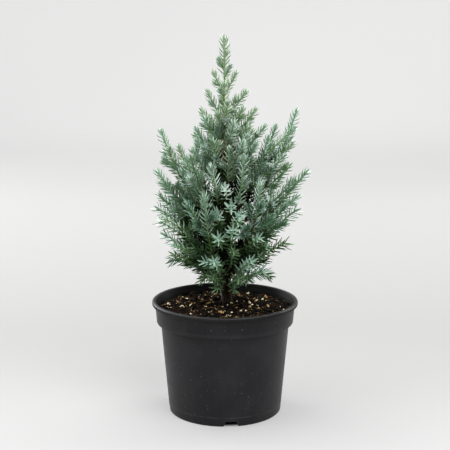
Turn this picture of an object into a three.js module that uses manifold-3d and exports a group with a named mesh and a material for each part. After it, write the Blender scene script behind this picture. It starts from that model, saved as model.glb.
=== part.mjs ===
// A young blue juniper in a round black nursery pot.
// Millimetres, +Z up. The origin is the centre of the pot's flat underside, on the surface it stands on.
// The front is -Y and azimuths turn anticlockwise from +X, the right-hand side seen from the front.
import * as THREE from "three";
import { mergeVertices } from "three/addons/utils/BufferGeometryUtils.js";
import Module from "manifold-3d";

const wasm = await Module();
wasm.setup();

// Driving dimensions of the pot: a 13 cm nursery pot with a collar and a rounded lip.
const POT = {
  height: 101,
  lipRadius: 65,
  lipInnerRadius: 61.7,
  lipHeight: 4.5,
  lipRound: 1.1,
  collarTopRadius: 62.1,
  collarFootRadius: 61,
  collarFoot: 81.3,
  bodyTopRadius: 57.3,
  baseRadius: 50.4,
  footRound: 1.2,
  wall: 1.5,
  floor: 2,
  facets: 24,
  facetTurn: 3,
};

// Four raised channels under the floor, each ending in a notch in the pot's foot.
const DRAIN = {
  count: 4,
  firstAzimuth: -84,
  width: 15.5,
  topWidth: 9,
  height: 4.6,
  roof: 1.5,
  innerEnd: 24,
  holeRadius: 3.5,
  holeFromAxis: 40,
  holeFacets: 12,
  belowFloor: 1,
};

// The soil: it meets the wall below the rim and rises to the foot of the trunk.
const SOIL = { wallHeight: 92.8, crownHeight: 98, crownRadius: 9, midHeight: 95.6, midRadius: 36 };

// The trunk runs whole from its flat cut on the soil to the foot of the leading shoot.
const TRUNK = {
  foot: SOIL.crownHeight,
  top: 298,
  footX: 1.2,
  topX: -0.5,
  sway: 0.8,
  bend: -1.5,
  footRadius: 4.4,
  topRadius: 0.75,
  taperPower: 1.5,
  flare: 1.5,
  flareHeight: 3,
  sides: 8,
  heights: [0, 1.5, 3.5, 8, 18, 34, 54, 78, 102, 126, 150, 175, 200],
};
const LEADER = { tipX: -0.9, tipHeight: 334, bulge: 0.4 };

// How a limb bends: the share of its reach and of its rise at its elbow, and any arch above that.
const UPRIGHT = { bow: 0.62, lift: 0.35, arch: 0 };
const STANDING = { bow: 0.9, lift: 0.3, arch: 0 };
const SPREADING = { bow: 0.52, lift: 0.44, arch: 0 };
const LEVEL = { bow: 0.55, lift: 0.66, arch: 4 };
const DROOPING = { bow: 0.6, lift: 0.5, arch: 24 };

// Boughs: azimuth, height of the root on the trunk, reach from the axis and height of the furthest tip.
const BOUGHS = [
  { name: "shoulder_right", azimuth: 358, root: 154, reach: 62.5, tip: 271.6, habit: UPRIGHT },
  { name: "shoulder_left", azimuth: 181, root: 152, reach: 56.5, tip: 254.3, habit: UPRIGHT },
  { name: "shoulder_back_right", azimuth: 66, root: 149, reach: 46, tip: 252, habit: UPRIGHT },
  { name: "shoulder_back_left", azimuth: 122, root: 145, reach: 50, tip: 238, habit: UPRIGHT },
  { name: "shoulder_front_left", azimuth: 222, root: 144, reach: 45, tip: 234, habit: UPRIGHT },
  { name: "front_left", azimuth: 249, root: 131, reach: 48, tip: 205, habit: STANDING },
  { name: "front_right", azimuth: 304, root: 136, reach: 53, tip: 214, habit: STANDING },
  { name: "right", azimuth: 352, root: 140, reach: 72.5, tip: 219, habit: SPREADING },
  { name: "left", azimuth: 186, root: 137, reach: 60, tip: 218, habit: SPREADING },
  { name: "back", azimuth: 94, root: 138, reach: 60, tip: 205, habit: SPREADING },
  { name: "back_right", azimuth: 34, root: 132, reach: 64, tip: 212, habit: SPREADING },
  { name: "back_left", azimuth: 154, root: 129, reach: 60, tip: 204, habit: SPREADING },
  { name: "right_front", azimuth: 328, root: 126, reach: 62, tip: 193, habit: SPREADING },
];

// Low foliage that springs straight from the trunk, in the same terms.
const LOW_SPRAYS = [
  { name: "low_right_upper", azimuth: 6, root: 118, reach: 65, tip: 181, habit: LEVEL },
  { name: "low_right", azimuth: 346, root: 112, reach: 56, tip: 155, habit: LEVEL },
  { name: "low_right_droop", azimuth: 356, root: 104, reach: 42, tip: 120.5, habit: DROOPING },
  { name: "low_left_upper", azimuth: 174, root: 121, reach: 61, tip: 183, habit: LEVEL },
  { name: "low_left", azimuth: 190, root: 110, reach: 55, tip: 162, habit: LEVEL },
  { name: "low_left_droop", azimuth: 178, root: 103, reach: 49.5, tip: 135, habit: DROOPING },
  { name: "low_front_upper", azimuth: 277, root: 118, reach: 56, tip: 175, habit: LEVEL },
  { name: "low_front_left", azimuth: 259, root: 110, reach: 52, tip: 147, habit: LEVEL },
  { name: "low_front_right", azimuth: 296, root: 108, reach: 52, tip: 146, habit: LEVEL },
  { name: "low_front_droop", azimuth: 236, root: 103, reach: 38, tip: 124, habit: DROOPING },
  { name: "low_side_left", azimuth: 217, root: 115, reach: 56, tip: 158, habit: LEVEL },
  { name: "low_back_left", azimuth: 138, root: 108, reach: 52, tip: 144, habit: LEVEL },
  { name: "low_back", azimuth: 88, root: 114, reach: 55, tip: 152, habit: LEVEL },
  { name: "low_back_right", azimuth: 44, root: 106, reach: 52, tip: 142, habit: LEVEL },
];

// Pairs of opposite sprays climb the leader, each pair turned a right angle and a little from the last.
// The crown is slimmer on its left, by a share of what the reach has grown.
const TOP_PAIRS = {
  count: 8,
  firstReach: 10.5,
  reachStep: 4.6,
  slimmerLeft: 0.4,
  firstTip: 304,
  tipStep: 8,
  firstRise: 21,
  riseStep: 2.6,
  firstAzimuth: -6,
  turn: 94,
  habit: { bow: 0.58, lift: 0.42, arch: 0 },
};

// A bough's own wood ends at this share of its limb, where its foliage takes over.
const BOUGH = { share: 0.34, rootRadius: 2.1, tipRadius: 1.15, sides: 6, steps: 3 };

// A spray is a slim six-sided core with needles standing out of it in whorls of three.
const STEM = { core: 1.7, needle: 8, whorlStep: 7 };
const TOP_STEM = { core: 1.3, needle: 7.4, whorlStep: 6.2 };
const TWIG = { core: 1.5, needle: 8, whorlStep: 6.4 };
const CORE_SIDES = 6;
const CORE_TAPER = 0.55;
const NEEDLE_SPREAD_BASE = 0.86;
const NEEDLE_SPREAD_TIP = 0.42;

// Twigs branch from each stem by the golden angle.
const BRANCHING = {
  goldenAngle: 137.508,
  spacing: 12,
  first: 0.05,
  last: 0.82,
  length: 24,
  ofStem: 0.5,
  ofLeader: 0.26,
  lastOnLeader: 0.5,
  shortening: 0.5,
  leanOut: 46,
  leanSpread: 6,
  lengthSpread: 0.12,
  upturn: 0.3,
};
const BARE_ON_TRUNK = 0.34;
const BARE_ON_BOUGH = 0.06;
const BARE_TWIG = 0.3;

const CLEARANCE = 0.3;
const SPACE_MARGIN = 0.9;
const STEM_SAMPLES = 14;
const TWIG_SAMPLES = 6;
const TWIG_SAMPLES_IN_ROOT = 2;
const NEARLY_UPRIGHT = 0.01;

const CHARCOAL_PLASTIC = { color: 0x303032, roughness: 0.5, metalness: 0 };
const PEAT = { color: 0x2a211a, roughness: 1, metalness: 0 };
const BARK = { color: 0x4a3224, roughness: 0.9, metalness: 0 };
const BLUE_NEEDLES = { color: 0x7f9f8e, roughness: 0.75, metalness: 0 };

const radians = THREE.MathUtils.degToRad;

// A small seeded generator, so that the plant grows the same way every time.
class Dice {
  constructor(seed) {
    this.state = Math.imul(seed + 1, 2654435761) >>> 0;
    this.next();
  }

  next() {
    this.state = (Math.imul(this.state, 1664525) + 1013904223) >>> 0;
    return this.state / 2 ** 32;
  }

  about(middle, spread) {
    return middle + spread * (2 * this.next() - 1);
  }
}

// A closed geometry as a solid.
function solidOf(geometry) {
  const bare = geometry.index ? geometry.toNonIndexed() : geometry.clone();
  bare.deleteAttribute("normal");
  bare.deleteAttribute("uv");
  const merged = mergeVertices(bare, 1e-4);
  const vertProperties = merged.attributes.position.array;
  const triVerts = new Uint32Array(merged.index.array);
  return new wasm.Manifold(new wasm.Mesh({ numProp: 3, vertProperties, triVerts }));
}

// A solid as a geometry with flat faces.
function geometryOf(solid) {
  const mesh = solid.getMesh();
  const geometry = new THREE.BufferGeometry();
  geometry.setAttribute("position", new THREE.BufferAttribute(mesh.vertProperties, 3));
  geometry.setIndex(new THREE.BufferAttribute(mesh.triVerts, 1));
  const faceted = geometry.toNonIndexed();
  faceted.computeVertexNormals();
  return faceted;
}

// A named mesh with its own material.
function named(name, solid, finish) {
  const mesh = new THREE.Mesh(geometryOf(solid), new THREE.MeshStandardMaterial(finish));
  mesh.name = name;
  return mesh;
}

// A profile of [radius, height] pairs, turned round the Z axis.
function revolve(profile) {
  const points = profile.map(([radius, height]) => new THREE.Vector2(radius, height));
  const shape = new THREE.LatheGeometry(points, POT.facets).rotateX(Math.PI / 2);
  return solidOf(shape.rotateZ(radians(POT.facetTurn)));
}

// A solid skinned over rings of points, closed by a flat cap at the foot and a cap or a point at the end.
// The diagonals join the points that stand in, so that each point that stands out becomes a spike.
function skin(rings, tip = null) {
  const sides = rings[0].length;
  const points = rings.flat();
  const index = [];
  for (let i = 0; i + 1 < rings.length; i += 1) {
    for (let j = 0; j < sides; j += 1) {
      const a = i * sides + j;
      const b = i * sides + ((j + 1) % sides);
      const c = b + sides;
      const d = a + sides;
      if ((i + j) % 2 === 0) index.push(a, b, c, a, c, d);
      else index.push(a, b, d, b, c, d);
    }
  }
  for (let j = 1; j + 1 < sides; j += 1) index.push(0, j + 1, j);
  const last = (rings.length - 1) * sides;
  if (tip) {
    points.push(tip);
    for (let j = 0; j < sides; j += 1) index.push(last + j, last + ((j + 1) % sides), points.length - 1);
  } else {
    for (let j = 1; j + 1 < sides; j += 1) index.push(last, last + j, last + j + 1);
  }
  return solidOf(new THREE.BufferGeometry().setFromPoints(points).setIndex(index));
}

// A point at an angle on a circle that two axes span.
function ringPoint(centre, across, up, radius, angle) {
  return centre
    .clone()
    .addScaledVector(across, radius * Math.cos(angle))
    .addScaledVector(up, radius * Math.sin(angle));
}

// The pot: one turned wall with its floor, drained by four channels.
function potSolid() {
  const { wall, height, lipRound } = POT;
  const lipFoot = height - POT.lipHeight;
  const shell = revolve([
    [0, 0],
    [POT.baseRadius - POT.footRound, 0],
    [POT.baseRadius, POT.footRound],
    [POT.bodyTopRadius, POT.collarFoot],
    [POT.collarFootRadius, POT.collarFoot],
    [POT.collarTopRadius, lipFoot],
    [POT.lipRadius - lipRound, lipFoot],
    [POT.lipRadius, lipFoot + lipRound],
    [POT.lipRadius, height - lipRound],
    [POT.lipRadius - lipRound, height],
    [POT.lipInnerRadius + lipRound / 2, height],
    [POT.lipInnerRadius, height - lipRound],
    [POT.collarTopRadius - wall, lipFoot - wall],
    [POT.collarFootRadius - wall, POT.collarFoot + wall],
    [POT.bodyTopRadius - wall, POT.collarFoot - wall],
    [POT.baseRadius - wall, POT.floor],
    [0, POT.floor],
  ]);
  return drainRoofs(0)
    .reduce((pot, roof) => pot.add(roof), shell)
    .subtract(drainCuts().reduce((all, cut) => all.add(cut)));
}

// The directions of the channels.
function drainAzimuths() {
  return Array.from({ length: DRAIN.count }, (_, i) => DRAIN.firstAzimuth + (i * 360) / DRAIN.count);
}

// A bar with a trapezium section, lying along a radius of the pot, grown by a margin on its sides and top.
function channelBar(azimuth, grow, inner, outer, lowest) {
  const top = DRAIN.height + grow;
  const section = new THREE.Shape([
    new THREE.Vector2(-DRAIN.width / 2 - grow, lowest),
    new THREE.Vector2(DRAIN.width / 2 + grow, lowest),
    new THREE.Vector2(DRAIN.topWidth / 2 + grow, top),
    new THREE.Vector2(-DRAIN.topWidth / 2 - grow, top),
  ]);
  const bar = new THREE.ExtrudeGeometry(section, { depth: outer - inner, bevelEnabled: false });
  bar.rotateX(Math.PI / 2).rotateZ(Math.PI / 2).translate(inner, 0, 0);
  return solidOf(bar.rotateZ(radians(azimuth)));
}

// The raised roofs of the channels, from the floor up; clearance leaves room round them in the soil.
function drainRoofs(clearance) {
  const grow = DRAIN.roof + clearance;
  const midWall = POT.baseRadius - POT.wall / 2;
  return drainAzimuths().map((azimuth) => channelBar(azimuth, grow, DRAIN.innerEnd - grow, midWall, 0));
}

// The channels themselves, out through the foot of the wall, each with a hole up through its roof.
function drainCuts() {
  const holeHeight = 4 * DRAIN.height;
  return drainAzimuths().map((azimuth) => {
    const hole = new THREE.CylinderGeometry(DRAIN.holeRadius, DRAIN.holeRadius, holeHeight, DRAIN.holeFacets);
    hole.rotateX(Math.PI / 2).translate(DRAIN.holeFromAxis, 0, 0).rotateZ(radians(azimuth));
    return channelBar(azimuth, 0, DRAIN.innerEnd, POT.lipRadius, -DRAIN.belowFloor).add(solidOf(hole));
  });
}

// The soil fills the pot with a small gap to its wall.
function soilSolid() {
  const inset = POT.wall + CLEARANCE;
  const earth = revolve([
    [0, POT.floor + CLEARANCE],
    [POT.baseRadius - inset - CLEARANCE, POT.floor + CLEARANCE],
    [POT.bodyTopRadius - inset, POT.collarFoot - inset],
    [POT.collarFootRadius - inset, POT.collarFoot + inset],
    [POT.collarTopRadius - inset - CLEARANCE, SOIL.wallHeight],
    [SOIL.midRadius, SOIL.midHeight],
    [SOIL.crownRadius, SOIL.crownHeight],
    [0, SOIL.crownHeight],
  ]);
  return drainRoofs(CLEARANCE).reduce((soil, roof) => soil.subtract(roof), earth);
}

// The trunk's leaning, slightly bent axis.
function trunkAxis(z) {
  const h = (z - TRUNK.foot) / (TRUNK.top - TRUNK.foot);
  const x = THREE.MathUtils.lerp(TRUNK.footX, TRUNK.topX, h) + TRUNK.sway * Math.sin(2 * Math.PI * h);
  return new THREE.Vector3(x, TRUNK.bend * Math.sin(Math.PI * h), z);
}

// The trunk's radius at a height.
function trunkRadius(z) {
  const h = THREE.MathUtils.clamp((z - TRUNK.foot) / (TRUNK.top - TRUNK.foot), 0, 1);
  const taper = (TRUNK.footRadius - TRUNK.topRadius) * (1 - h) ** TRUNK.taperPower;
  return TRUNK.topRadius + taper + TRUNK.flare * Math.exp((TRUNK.foot - z) / TRUNK.flareHeight);
}

// The trunk: level rings round its axis, flared at the foot and cut flat on the soil.
function trunkSolid(clearance = 0) {
  const across = new THREE.Vector3(1, 0, 0);
  const along = new THREE.Vector3(0, 1, 0);
  const rings = TRUNK.heights.map((rise) => {
    const centre = trunkAxis(TRUNK.foot + rise);
    const radius = trunkRadius(centre.z) + clearance;
    return Array.from({ length: TRUNK.sides }, (_, j) =>
      ringPoint(centre, across, along, radius, (j * 2 * Math.PI) / TRUNK.sides),
    );
  });
  return skin(rings);
}

// A limb's whole course, from the trunk's axis to its furthest tip.
function limbCurve({ azimuth, root, reach, tip, habit }) {
  const start = trunkAxis(root);
  const outward = new THREE.Vector3(Math.cos(radians(azimuth)), Math.sin(radians(azimuth)), 0);
  const end = outward.clone().multiplyScalar(reach).setZ(tip);
  const elbow = start.clone().addScaledVector(outward, reach * habit.bow);
  elbow.z += (tip - root) * habit.lift + habit.arch;
  return new THREE.QuadraticBezierCurve3(start, elbow, end);
}

// The stretch of a quadratic curve between two of its parameters.
function stretch(curve, from, to) {
  const start = curve.getPoint(from);
  const end = curve.getPoint(to);
  const slope = curve.v1.clone().sub(curve.v0).lerp(curve.v2.clone().sub(curve.v1), from);
  const elbow = start.clone().addScaledVector(slope, to - from);
  return new THREE.QuadraticBezierCurve3(start, elbow, end);
}

// One tapering bough, coped to the trunk.
function boughSolid(limb, trunkRoom) {
  const wood = stretch(limb.curve, limb.start, BOUGH.share);
  const frames = wood.computeFrenetFrames(BOUGH.steps);
  const rings = frames.tangents.map((_, i) => {
    const centre = wood.getPointAt(i / BOUGH.steps);
    const radius = THREE.MathUtils.lerp(BOUGH.rootRadius, BOUGH.tipRadius, i / BOUGH.steps);
    return Array.from({ length: BOUGH.sides }, (__, j) => {
      const angle = (j * 2 * Math.PI) / BOUGH.sides;
      return ringPoint(centre, frames.normals[i], frames.binormals[i], radius, angle);
    });
  });
  return skin(rings).subtract(trunkRoom);
}

// A needle-bearing spray along a curve. A needle that its space doesn't admit is left out.
function spraySolid(curve, { core, needle, whorlStep }, bare, admits) {
  const length = curve.getLength();
  const whorls = Math.max(2, Math.round(length / whorlStep));
  const frames = curve.computeFrenetFrames(whorls);
  const rings = [];
  for (let i = 0; i < whorls; i += 1) {
    const along = i / whorls;
    const centre = curve.getPointAt(along);
    const radius = core * (1 - CORE_TAPER * along);
    const spread = needle * THREE.MathUtils.lerp(NEEDLE_SPREAD_BASE, NEEDLE_SPREAD_TIP, along);
    const forward = Math.sqrt(needle * needle - spread * spread);
    rings.push(
      Array.from({ length: CORE_SIDES }, (_, j) => {
        const angle = (j * 2 * Math.PI) / CORE_SIDES;
        const inner = ringPoint(centre, frames.normals[i], frames.binormals[i], radius, angle);
        if ((i + j) % 2 === 0 || along <= bare) return inner;
        const point = ringPoint(centre, frames.normals[i], frames.binormals[i], spread, angle);
        point.addScaledVector(frames.tangents[i], forward);
        return admits(point) ? point : inner;
      }),
    );
  }
  return skin(rings, curve.getPointAt(1));
}

// The rows of the sprays that climb the leader.
function topSprays() {
  const rows = [];
  for (let level = 0; level < TOP_PAIRS.count; level += 1) {
    for (const side of [0, 1]) {
      const tip = TOP_PAIRS.firstTip - TOP_PAIRS.tipStep * level;
      const azimuth = TOP_PAIRS.firstAzimuth + TOP_PAIRS.turn * level + 180 * side;
      const slimming = 1 - TOP_PAIRS.slimmerLeft * Math.max(0, -Math.cos(radians(azimuth)));
      rows.push({
        name: `top_${level + 1}_${side ? "b" : "a"}`,
        azimuth,
        root: tip - TOP_PAIRS.firstRise - TOP_PAIRS.riseStep * level,
        reach: TOP_PAIRS.firstReach + TOP_PAIRS.reachStep * level * slimming,
        tip,
        habit: TOP_PAIRS.habit,
        slim: true,
      });
    }
  }
  return rows;
}

// The leading shoot stands on the tip of the trunk with a small gap.
function leaderCurve() {
  const start = trunkAxis(TRUNK.top);
  start.z += CLEARANCE;
  const end = new THREE.Vector3(LEADER.tipX, 0, LEADER.tipHeight);
  const elbow = start.clone().lerp(end, 0.5).setX(start.x + LEADER.bulge);
  return new THREE.QuadraticBezierCurve3(start, elbow, end);
}

// Every limb with its course, the stretch that bears foliage and the points that mark its space.
function allLimbs() {
  const onBough = BOUGHS.map((row) => ({ ...row, bough: true }));
  const limbs = [...onBough, ...LOW_SPRAYS, ...topSprays()].map((row) => ({ ...row, curve: limbCurve(row) }));
  for (const limb of limbs) {
    const length = limb.curve.getLength();
    limb.start = trunkRadius(limb.root) / length;
    limb.stem = limb.bough
      ? stretch(limb.curve, BOUGH.share + CLEARANCE / length, 1)
      : stretch(limb.curve, limb.start, 1);
    limb.bare = limb.bough ? BARE_ON_BOUGH : BARE_ON_TRUNK;
  }
  const leader = leaderCurve();
  limbs.push({ name: "leader_tip", curve: leader, stem: leader, bare: 0, slim: true, leader: true });
  limbs.forEach((limb, seed) => {
    limb.seed = seed;
    limb.trail = limb.stem.getSpacedPoints(STEM_SAMPLES);
    limb.wood = limb.bough ? stretch(limb.curve, 0, BOUGH.share).getSpacedPoints(STEM_SAMPLES) : [];
  });
  return limbs;
}

const segment = new THREE.Line3();
const nearest = new THREE.Vector3();

// The shortest distance from a point to a trail of points.
function distanceTo(trail, point) {
  let least = Infinity;
  for (let i = 0; i + 1 < trail.length; i += 1) {
    segment.set(trail[i], trail[i + 1]).closestPointToPoint(point, true, nearest);
    least = Math.min(least, nearest.distanceTo(point));
  }
  return least;
}

// A point is in a mass's own space where its stem is the nearest of all and no wood or soil is close.
function spaceOf(limb, limbs) {
  return (point, room = SPACE_MARGIN) => {
    const trunkDistance = point.distanceTo(trunkAxis(point.z));
    if (point.z < TRUNK.top + room && trunkDistance < trunkRadius(point.z) + room) return false;
    if (point.z < SOIL.crownHeight + room && Math.hypot(point.x, point.y) < POT.lipRadius) return false;
    const own = distanceTo(limb.trail, point);
    return limbs.every((other) => {
      if (other.wood.length && distanceTo(other.wood, point) < BOUGH.rootRadius + room) return false;
      return other === limb || distanceTo(other.trail, point) > own + room;
    });
  };
}

// The twigs of a mass: each leaves the stem at a golden angle from the last and turns up a little.
function twigCurves(limb) {
  const dice = new Dice(limb.seed);
  const length = limb.stem.getLength();
  const start = Math.max(BRANCHING.first, limb.bare);
  const last = limb.leader ? BRANCHING.lastOnLeader : BRANCHING.last;
  const share = limb.leader ? BRANCHING.ofLeader : BRANCHING.ofStem;
  const count = Math.round((length * (last - start)) / BRANCHING.spacing);
  const twigs = [];
  let turn = 360 * dice.next();
  for (let i = 0; i < count; i += 1) {
    const along = THREE.MathUtils.lerp(start, last, (i + 0.5) / count);
    const root = limb.stem.getPointAt(along);
    const tangent = limb.stem.getTangentAt(along);
    const side = new THREE.Vector3(0, 0, 1).cross(tangent);
    if (side.lengthSq() < NEARLY_UPRIGHT) side.set(1, 0, 0);
    side.normalize();
    const out = side.applyAxisAngle(tangent, radians(turn));
    const lean = radians(dice.about(BRANCHING.leanOut, BRANCHING.leanSpread));
    const size = Math.min(BRANCHING.length, share * length) * (1 - BRANCHING.shortening * along);
    const reach = size * dice.about(1, BRANCHING.lengthSpread);
    const heading = tangent.clone().multiplyScalar(Math.cos(lean)).addScaledVector(out, Math.sin(lean));
    const elbow = root.clone().addScaledVector(heading, reach / 2);
    const end = root.clone().addScaledVector(heading, reach);
    end.z += BRANCHING.upturn * reach * (1 - Math.abs(heading.z));
    twigs.push(new THREE.QuadraticBezierCurve3(root, elbow, end));
    turn += BRANCHING.goldenAngle;
  }
  return twigs;
}

// The largest outer body of a fused solid: a sealed hollow is filled and a loose scrap is dropped.
function wholeBody(solid) {
  return solid.decompose().reduce((best, body) => (body.volume() > best.volume() ? body : best));
}

// A mass of foliage: its stem with every twig that keeps to its space, fused into one solid.
function massSolid(limb, limbs, trunkRoom) {
  const inSpace = spaceOf(limb, limbs);
  const admits = (point) => inSpace(point);
  const stem = spraySolid(limb.stem, limb.slim ? TOP_STEM : STEM, limb.bare, admits);
  const kept = twigCurves(limb).filter((twig) => {
    const beyondRoot = twig.getSpacedPoints(TWIG_SAMPLES).slice(TWIG_SAMPLES_IN_ROOT);
    return beyondRoot.every((point) => inSpace(point, SPACE_MARGIN + TWIG.core));
  });
  const mass = kept.reduce((all, twig) => all.add(spraySolid(twig, TWIG, BARE_TWIG, admits)), stem);
  return wholeBody(limb.bough || limb.leader ? mass : mass.subtract(trunkRoom));
}

// The whole object: the pot with its soil, and the plant.
const plant = new THREE.Group();
const pot = new THREE.Group();
pot.add(named("pot", potSolid(), CHARCOAL_PLASTIC), named("soil", soilSolid(), PEAT));
plant.add(named("trunk", trunkSolid(), BARK));
const trunkRoom = trunkSolid(CLEARANCE);
const limbs = allLimbs();
for (const limb of limbs) {
  if (limb.bough) plant.add(named(`bough_${limb.name}`, boughSolid(limb, trunkRoom), BARK));
  plant.add(named(`foliage_${limb.name}`, massSolid(limb, limbs, trunkRoom), BLUE_NEEDLES));
}

const juniper = new THREE.Group();
juniper.add(pot, plant);

export default juniper;
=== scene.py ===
"""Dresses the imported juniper: its pot, the soil with its litter, the bark, and every shoot with its needles.

The sizes repeat the named values of the part's source and are in millimetres. Meshes are written in metres.
"""

from __future__ import annotations

import logging
import math
import sys
from collections.abc import Callable, Iterable, Sequence
from dataclasses import dataclass, field, replace
from enum import Enum
from functools import cached_property

import bmesh
import bpy
import numpy as np
from mathutils import Matrix, Vector, noise

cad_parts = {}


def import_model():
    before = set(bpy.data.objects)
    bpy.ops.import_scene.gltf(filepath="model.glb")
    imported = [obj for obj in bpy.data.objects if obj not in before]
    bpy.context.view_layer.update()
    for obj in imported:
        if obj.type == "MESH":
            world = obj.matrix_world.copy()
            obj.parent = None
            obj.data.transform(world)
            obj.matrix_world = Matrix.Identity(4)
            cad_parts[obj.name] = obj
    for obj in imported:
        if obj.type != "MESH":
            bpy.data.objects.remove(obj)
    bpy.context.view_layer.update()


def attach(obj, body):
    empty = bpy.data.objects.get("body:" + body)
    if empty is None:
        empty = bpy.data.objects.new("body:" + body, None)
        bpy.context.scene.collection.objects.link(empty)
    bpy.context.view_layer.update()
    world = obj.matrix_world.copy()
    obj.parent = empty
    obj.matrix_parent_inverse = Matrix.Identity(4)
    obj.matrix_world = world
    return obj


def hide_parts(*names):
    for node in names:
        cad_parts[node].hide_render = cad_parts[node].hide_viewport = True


LOG = logging.getLogger("juniper")
MM = 0.001
BODY = "root"
UP = Vector((0, 0, 1))
ACROSS = Vector((1, 0, 0))
GOLDEN_ANGLE = 137.508
CURVE_SAMPLES = 25
BOUGH_SHARE = 0.34
LITTER_SEED = 31

Faces = list[tuple[int, ...]]
Shape = tuple[np.ndarray, Faces]
Point = tuple[float, float]
Tone = tuple[float, float, float]
Colour = tuple[float, float, float, float]


# Numbers and curves


class Dice:
    """The source's random numbers, which come out the same in every run."""

    RANGE = 2**32
    SEED_FACTOR = 2654435761
    FACTOR = 1664525
    STEP = 1013904223

    def __init__(self, seed: int) -> None:
        """Starts the row of numbers that belongs to a seed."""
        self._state = (seed + 1) * self.SEED_FACTOR % self.RANGE
        self.next()

    def next(self) -> float:
        """The next number from 0 up to 1."""
        self._state = (self._state * self.FACTOR + self.STEP) % self.RANGE
        return self._state / self.RANGE

    def about(self, middle: float, spread: float) -> float:
        """A number within a spread on either side of a middle value."""
        return middle + spread * (2 * self.next() - 1)


@dataclass(frozen=True)
class Course:
    """A quadratic curve in millimetres that a limb or a shoot follows.

    Args:
        foot: where it starts.
        elbow: the point that pulls it into its bend.
        tip: where it ends.
    """

    foot: Vector
    elbow: Vector
    tip: Vector

    def point(self, share: float) -> Vector:
        """The point at a parameter from 0 to 1."""
        rest = 1 - share
        return rest * rest * self.foot + 2 * rest * share * self.elbow + share * share * self.tip

    def pull(self, share: float) -> Vector:
        """Half the curve's rate of change at a parameter."""
        return (self.elbow - self.foot).lerp(self.tip - self.elbow, share)

    def slope(self, share: float) -> Vector:
        """The direction at a parameter, of length 1."""
        return self.pull(share).normalized()

    @cached_property
    def _lengths(self) -> tuple[np.ndarray, np.ndarray]:
        """Measures the curve up to evenly spaced parameters.

        Returns:
            The parameters and the lengths.
        """
        shares = np.linspace(0, 1, CURVE_SAMPLES)
        points = np.array([self.point(float(share)) for share in shares])
        runs = np.linalg.norm(np.diff(points, axis=0), axis=1)
        return shares, np.concatenate(([0.0], np.cumsum(runs)))

    @property
    def length(self) -> float:
        """The whole length."""
        return float(self._lengths[1][-1])

    def at(self, share_of_length: float) -> tuple[Vector, Vector]:
        """Finds a place on the curve.

        Args:
            share_of_length: how far along it lies, from 0 to 1.

        Returns:
            The point and the direction there.
        """
        shares, lengths = self._lengths
        share = float(np.interp(share_of_length * lengths[-1], lengths, shares))
        return self.point(share), self.slope(share)

    def stretch(self, start: float, end: float) -> Course:
        """The part of the curve between two of its parameters."""
        first = self.point(start)
        return Course(first, first + self.pull(start) * (end - start), self.point(end))


def outward(azimuth: float) -> Vector:
    """The level direction at an azimuth in degrees."""
    angle = math.radians(azimuth)
    return Vector((math.cos(angle), math.sin(angle), 0))


# Meshes


def linked(name: str, data: bpy.types.ID) -> bpy.types.Object:
    """Makes an object and links it to the scene.

    Args:
        name: the object's name.
        data: its mesh, lamp or camera.

    Returns:
        The object.
    """
    made = bpy.data.objects.new(name, data)
    bpy.context.scene.collection.objects.link(made)
    return made


def mesh_object(
    name: str, points: Sequence[Sequence[float]], faces: Iterable[Sequence[int]], edges: Sequence = ()
) -> bpy.types.Object:
    """Makes an object from points in millimetres.

    Args:
        name: the object's name.
        points: rows of x, y and z.
        faces: rows of point numbers.
        edges: pairs of point numbers, for a mesh of lines.

    Returns:
        The object, linked to the scene.
    """
    mesh = bpy.data.meshes.new(name)
    mesh.from_pydata((np.array(points, float) * MM).tolist(), list(edges), list(faces))
    mesh.update()
    return linked(name, mesh)


def write_attribute(
    made: bpy.types.Object, name: str, kind: str, values: Sequence[float], domain: str = "POINT"
) -> None:
    """Writes one value for each point or face of an object, of the kind FLOAT, INT or BOOLEAN."""
    attribute = made.data.attributes.new(name, kind, domain)
    attribute.data.foreach_set("value", values)


def solid_copy(source: bpy.types.Object, name: str) -> bpy.types.Object:
    """Turns an object with modifiers into a plain mesh object and removes the first.

    Args:
        source: the object whose modifiers are to be applied.
        name: the new object's name.

    Returns:
        The plain object, without attributes that only its making used.
    """
    graph = bpy.context.evaluated_depsgraph_get()
    mesh = bpy.data.meshes.new_from_object(source.evaluated_get(graph), depsgraph=graph)
    source.modifiers.clear()
    bpy.data.objects.remove(source)
    own = ("material_index", "sharp_face", "sharp_edge")
    spare = [a.name for a in mesh.attributes if not (a.is_internal or a.is_required or a.name in own)]
    for name_of_spare in spare:
        mesh.attributes.remove(mesh.attributes[name_of_spare])
    return linked(name, mesh)


def lathe_points(profile: Sequence[Point], turns: int) -> list[tuple[float, float, float]]:
    """The points of a profile of radii and heights that is turned about the upright axis, ring by ring."""
    angles = np.linspace(0, math.tau, turns, endpoint=False)
    return [(r * math.cos(a), r * math.sin(a), height) for r, height in profile for a in angles]


def ring_faces(rings: int, sides: int) -> Faces:
    """Quads between rings of points.

    Args:
        rings: how many rings there are.
        sides: how many points a ring has.

    Returns:
        The faces, pointing outwards where the rings run counterclockwise and climb.
    """
    return [
        (low + j, low + (j + 1) % sides, low + sides + (j + 1) % sides, low + sides + j)
        for low in range(0, (rings - 1) * sides, sides)
        for j in range(sides)
    ]


def capped(rings: int, sides: int) -> Faces:
    """The faces of rings of points whose first and last ring are closed."""
    last = (rings - 1) * sides
    return [*ring_faces(rings, sides), tuple(reversed(range(sides))), tuple(range(last, last + sides))]


def pointed(rings: int, sides: int) -> Faces:
    """Faces for rings of points that end in a single point, with the first ring closed.

    Args:
        rings: how many rings there are.
        sides: how many points a ring has.

    Returns:
        The faces between the rings, those round the single point, and the one that closes the first ring.
    """
    last, tip = (rings - 1) * sides, rings * sides
    fan = [(last + j, last + (j + 1) % sides, tip) for j in range(sides)]
    return [*ring_faces(rings, sides), *fan, tuple(reversed(range(sides)))]


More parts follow.
